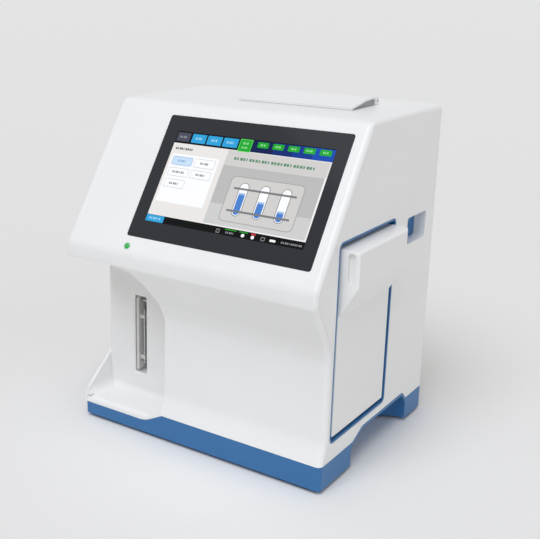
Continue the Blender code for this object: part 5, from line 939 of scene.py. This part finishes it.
class AnalyzerStudio(PropertyGroup):
    """The studio's light and floor."""

    floor_colour: FloatVectorProperty(
        name="Floor", description="Colour of the floor", subtype="COLOR",
        default=linear("#EFEEEC"), min=0.0, max=1.0)
    key_share: FloatProperty(
        name="Key light", description="What a white surface gets from the key light",
        default=0.50, min=0.0, max=1.0, subtype="FACTOR")
    fill_share: FloatProperty(
        name="Fill light", description="What a white surface gets from the fill light",
        default=0.18, min=0.0, max=1.0, subtype="FACTOR")
    top_share: FloatProperty(
        name="Top light", description="What a white surface gets from the top light",
        default=0.16, min=0.0, max=1.0, subtype="FACTOR")
    sky_share: FloatProperty(
        name="Room light", description="What a white surface gets from all round",
        default=0.30, min=0.0, max=1.0, subtype="FACTOR")


class FinishOperator:
    """What the operators share: copies of nodes with softened edges."""

    bl_options = {"REGISTER", "UNDO"}

    def copies(self, context, nodes, edge=None, finish=None):
        """Finished copies; without an edge or a finish they take the small one and their own."""
        look = context.scene.analyzer_look
        for node in nodes:
            finished_copy(node, finish, look.small_edge if edge is None else edge)


class ANALYZER_OT_covers(FinishOperator, Operator):
    """Finish the front cover, the main cover and the rear panel"""

    bl_idname = "analyzer.covers"
    bl_label = "Covers"

    def execute(self, context):
        edge = context.scene.analyzer_look.cover_edge
        self.copies(context, ["front_cover", "main_cover"], edge)
        self.copies(context, ["rear_panel"])
        make_cheek_blend()
        return {"FINISHED"}


class ANALYZER_OT_base(FinishOperator, Operator):
    """Finish the blue base tray and its feet"""

    bl_idname = "analyzer.base"
    bl_label = "Base"

    def execute(self, context):
        self.copies(context, ["base_tray"], context.scene.analyzer_look.cover_edge)
        feet = [f"foot_{y}_{x}" for y in ("front", "rear") for x in ("left", "right")]
        self.copies(context, feet)
        return {"FINISHED"}


class ANALYZER_OT_screen(FinishOperator, Operator):
    """Finish the cover glass and draw the page on it"""

    bl_idname = "analyzer.screen"
    bl_label = "Screen"

    def execute(self, context):
        self.copies(context, ["screen_glass", "display_module", "status_led"])
        make_page("page_areas", PAGE_SHARES)
        make_page("page_marks", mark_rows(MARK_SHARES))
        make_page("page_diagram", DIAGRAM_SHARES)
        make_light_ring()
        return {"FINISHED"}


class ANALYZER_OT_probe(FinishOperator, Operator):
    """Finish the sampling lever, its needle, pin and channel"""

    bl_idname = "analyzer.probe"
    bl_label = "Sampling lever"

    def execute(self, context):
        # The lever's light grey finish is painted shade: the lever is white like the covers.
        self.copies(context, ["sampling_lever"], finish="light_grey_abs")
        self.copies(context, ["sample_needle", "lever_pin"])
        self.copies(context, ["probe_channel"], finish="white_abs")
        return {"FINISHED"}


class ANALYZER_OT_reagent_bay(FinishOperator, Operator):
    """Finish the reagent pack, what it holds, and the bay around it"""

    bl_idname = "analyzer.reagent_bay"
    bl_label = "Reagent bay"

    def execute(self, context):
        look = context.scene.analyzer_look
        self.copies(context, ["bay_liner"], look.cover_edge)
        self.copies(context, ["reagent_pack"], look.pack_edge)
        self.copies(context, [
            "pack_back_plate", "septa_strip", "port_block",
            "calibrant_a_bag", "calibrant_b_bag", "waste_bag",
        ])
        return {"FINISHED"}


class ANALYZER_OT_printer(FinishOperator, Operator):
    """Finish the printer lid and the printer under it"""

    bl_idname = "analyzer.printer"
    bl_label = "Printer"

    def execute(self, context):
        self.copies(context, [
            "printer_lid", "lid_core", "lid_hinge_pin", "printer_bucket", "paper_roll",
            "paper_spindle", "platen_roller", "thermal_head",
        ])
        return {"FINISHED"}


class ANALYZER_OT_rear(FinishOperator, Operator):
    """Finish the fan, the inlet, the switch and the data jacks"""

    bl_idname = "analyzer.rear"
    bl_label = "Rear fittings"

    def execute(self, context):
        self.copies(context, [
            "fan_frame", "fan_rotor", "power_inlet", "rocker_frame", "power_rocker",
            "usb_port", "lan_port",
        ])
        make_screws()
        make_label()
        return {"FINISHED"}


class ANALYZER_OT_inside(FinishOperator, Operator):
    """Finish the inner frame, boards, pump, electrodes and valves"""

    bl_idname = "analyzer.inside"
    bl_label = "Inside"

    def execute(self, context):
        electrodes = [node for node in frame["nodes"] if node.endswith("_electrode")]
        self.copies(context, [
            "chassis", "main_board", "power_supply", "pump_motor", "pump_head", "pump_cover",
            "pump_rotor", "pump_roller_1", "pump_roller_2", "pump_roller_3", "pump_tube",
            "electrode_holder", *sorted(electrodes), "valve_block", "valve_1", "valve_2",
        ])
        return {"FINISHED"}


def soft_sun(name, toward, share, spread):
    """A wide, soft lamp far away; the share is what a facing white surface gets."""
    lamp = bpy.data.lights.new(name, "SUN")
    lamp.color = linear(COOL_LIGHT)
    lamp.energy = math.pi * share
    lamp.angle = spread
    obj = bpy.data.objects.new(name, lamp)
    obj.location = Vector(toward).normalized() * LAMP_DISTANCE
    obj.rotation_euler = (-Vector(toward)).to_track_quat("-Z", "Y").to_euler()
    bpy.context.scene.collection.objects.link(obj)


def make_floor(colour):
    """A plain floor of matte paint, rolled on: pale and even, with soft shadows."""
    bm = bmesh.new()
    bmesh.ops.create_grid(bm, x_segments=1, y_segments=1, size=FLOOR_SIZE / 2)
    mesh = bpy.data.meshes.new("studio_floor")
    bm.to_mesh(mesh)
    bm.free()
    floor = bpy.data.objects.new("studio_floor", mesh)
    bpy.context.scene.collection.objects.link(floor)
    material, _, shader = new_material("painted_floor")
    shader.inputs["Base Color"].default_value = (*colour, 1)
    shader.inputs["Roughness"].default_value = 0.8
    mesh.materials.append(material)


def make_world(sky_share):
    """The room: its soft light, what glossy faces mirror, and the backdrop behind."""
    world = bpy.data.worlds.new("studio_world")
    world.use_nodes = True
    tree = world.node_tree
    tree.nodes.clear()
    path = add_node(tree, "ShaderNodeLightPath")
    ambient, mirrored, backdrop = (
        add_node(tree, "ShaderNodeBackground", Color=(*linear(code), 1), Strength=strength)
        for code, strength in ((WARM_LIGHT, sky_share), (MIRRORED_WALL, 1.0), (BACKDROP, 1.0))
    )
    soft = add_node(
        tree, "ShaderNodeMixShader",
        [(path.outputs["Is Glossy Ray"], 0), (ambient.outputs[0], 1), (mirrored.outputs[0], 2)])
    through = add_node(
        tree, "ShaderNodeMath",
        [(path.outputs["Is Camera Ray"], 0), (path.outputs["Is Transmission Ray"], 1)],
        operation="MAXIMUM")
    seen = add_node(
        tree, "ShaderNodeMixShader",
        [(through.outputs[0], 0), (soft.outputs[0], 1), (backdrop.outputs[0], 2)])
    add_node(tree, "ShaderNodeOutputWorld", [(seen.outputs[0], "Surface")])
    bpy.context.scene.world = world


def make_camera():
    """The camera at the photograph's angle, turned a little about its own axis."""
    camera = bpy.data.cameras.new("photo_camera")
    camera.sensor_fit = "HORIZONTAL"
    camera.sensor_width = CAMERA_SENSOR
    camera.lens = CAMERA_LENS
    camera.shift_x, camera.shift_y = CAMERA_SHIFT
    obj = bpy.data.objects.new("photo_camera", camera)
    back = Vector((
        math.sin(CAMERA_AZIMUTH) * math.cos(CAMERA_ELEVATION),
        -math.cos(CAMERA_AZIMUTH) * math.cos(CAMERA_ELEVATION),
        math.sin(CAMERA_ELEVATION),
    ))
    obj.location = Vector(CAMERA_TARGET) + back * CAMERA_DISTANCE
    turn = (-back).to_track_quat("-Z", "Y").to_matrix()
    roll = Matrix.Rotation(CAMERA_ROLL, 3, "Z")
    obj.rotation_euler = (turn @ roll).to_euler()
    bpy.context.scene.collection.objects.link(obj)
    bpy.context.scene.camera = obj


class ANALYZER_OT_stage(Operator):
    """Set up the floor, the lamps, the world and the camera"""

    bl_idname = "analyzer.stage"
    bl_label = "Studio"
    bl_options = {"REGISTER", "UNDO"}

    def execute(self, context):
        studio = context.scene.analyzer_studio
        make_floor(studio.floor_colour)
        soft_sun("key", KEY_TOWARD, studio.key_share, KEY_SPREAD)
        soft_sun("fill", FILL_TOWARD, studio.fill_share, FILL_SPREAD)
        soft_sun("top", TOP_TOWARD, studio.top_share, TOP_SPREAD)
        make_world(studio.sky_share)
        context.scene.view_settings.view_transform = "Standard"
        make_camera()
        return {"FINISHED"}


OPERATORS = (
    ANALYZER_OT_covers,
    ANALYZER_OT_base,
    ANALYZER_OT_screen,
    ANALYZER_OT_probe,
    ANALYZER_OT_reagent_bay,
    ANALYZER_OT_printer,
    ANALYZER_OT_rear,
    ANALYZER_OT_inside,
    ANALYZER_OT_stage,
)


class ANALYZER_PT_panel(Panel):
    """The settings and the steps, in the sidebar"""

    bl_idname = "ANALYZER_PT_panel"
    bl_label = "Electrolyte analyzer"
    bl_space_type = "VIEW_3D"
    bl_region_type = "UI"
    bl_category = "Analyzer"

    def draw(self, context):
        layout = self.layout
        look, studio = context.scene.analyzer_look, context.scene.analyzer_studio
        for group, names in (
            (look, ("cover_edge", "pack_edge", "small_edge")),
            (studio, ("floor_colour", "key_share", "fill_share", "top_share", "sky_share")),
        ):
            for name in names:
                layout.prop(group, name)
        for operator in OPERATORS:
            layout.operator(operator.bl_idname)


CLASSES = (AnalyzerLook, AnalyzerStudio, *OPERATORS, ANALYZER_PT_panel)


def register():
    """Make the settings, the operators and the panel known to Blender."""
    for cls in CLASSES:
        bpy.utils.register_class(cls)
    bpy.types.Scene.analyzer_look = PointerProperty(type=AnalyzerLook)
    bpy.types.Scene.analyzer_studio = PointerProperty(type=AnalyzerStudio)


def unregister():
    """Take back what register does, in the opposite order."""
    del bpy.types.Scene.analyzer_studio
    del bpy.types.Scene.analyzer_look
    for cls in reversed(CLASSES):
        bpy.utils.unregister_class(cls)


def main():
    """Build the look step by step."""
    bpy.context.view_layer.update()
    register()
    for operator in OPERATORS:
        group, name = operator.bl_idname.split(".")
        getattr(getattr(bpy.ops, group), name)()


if __name__ == "__main__":
    main()
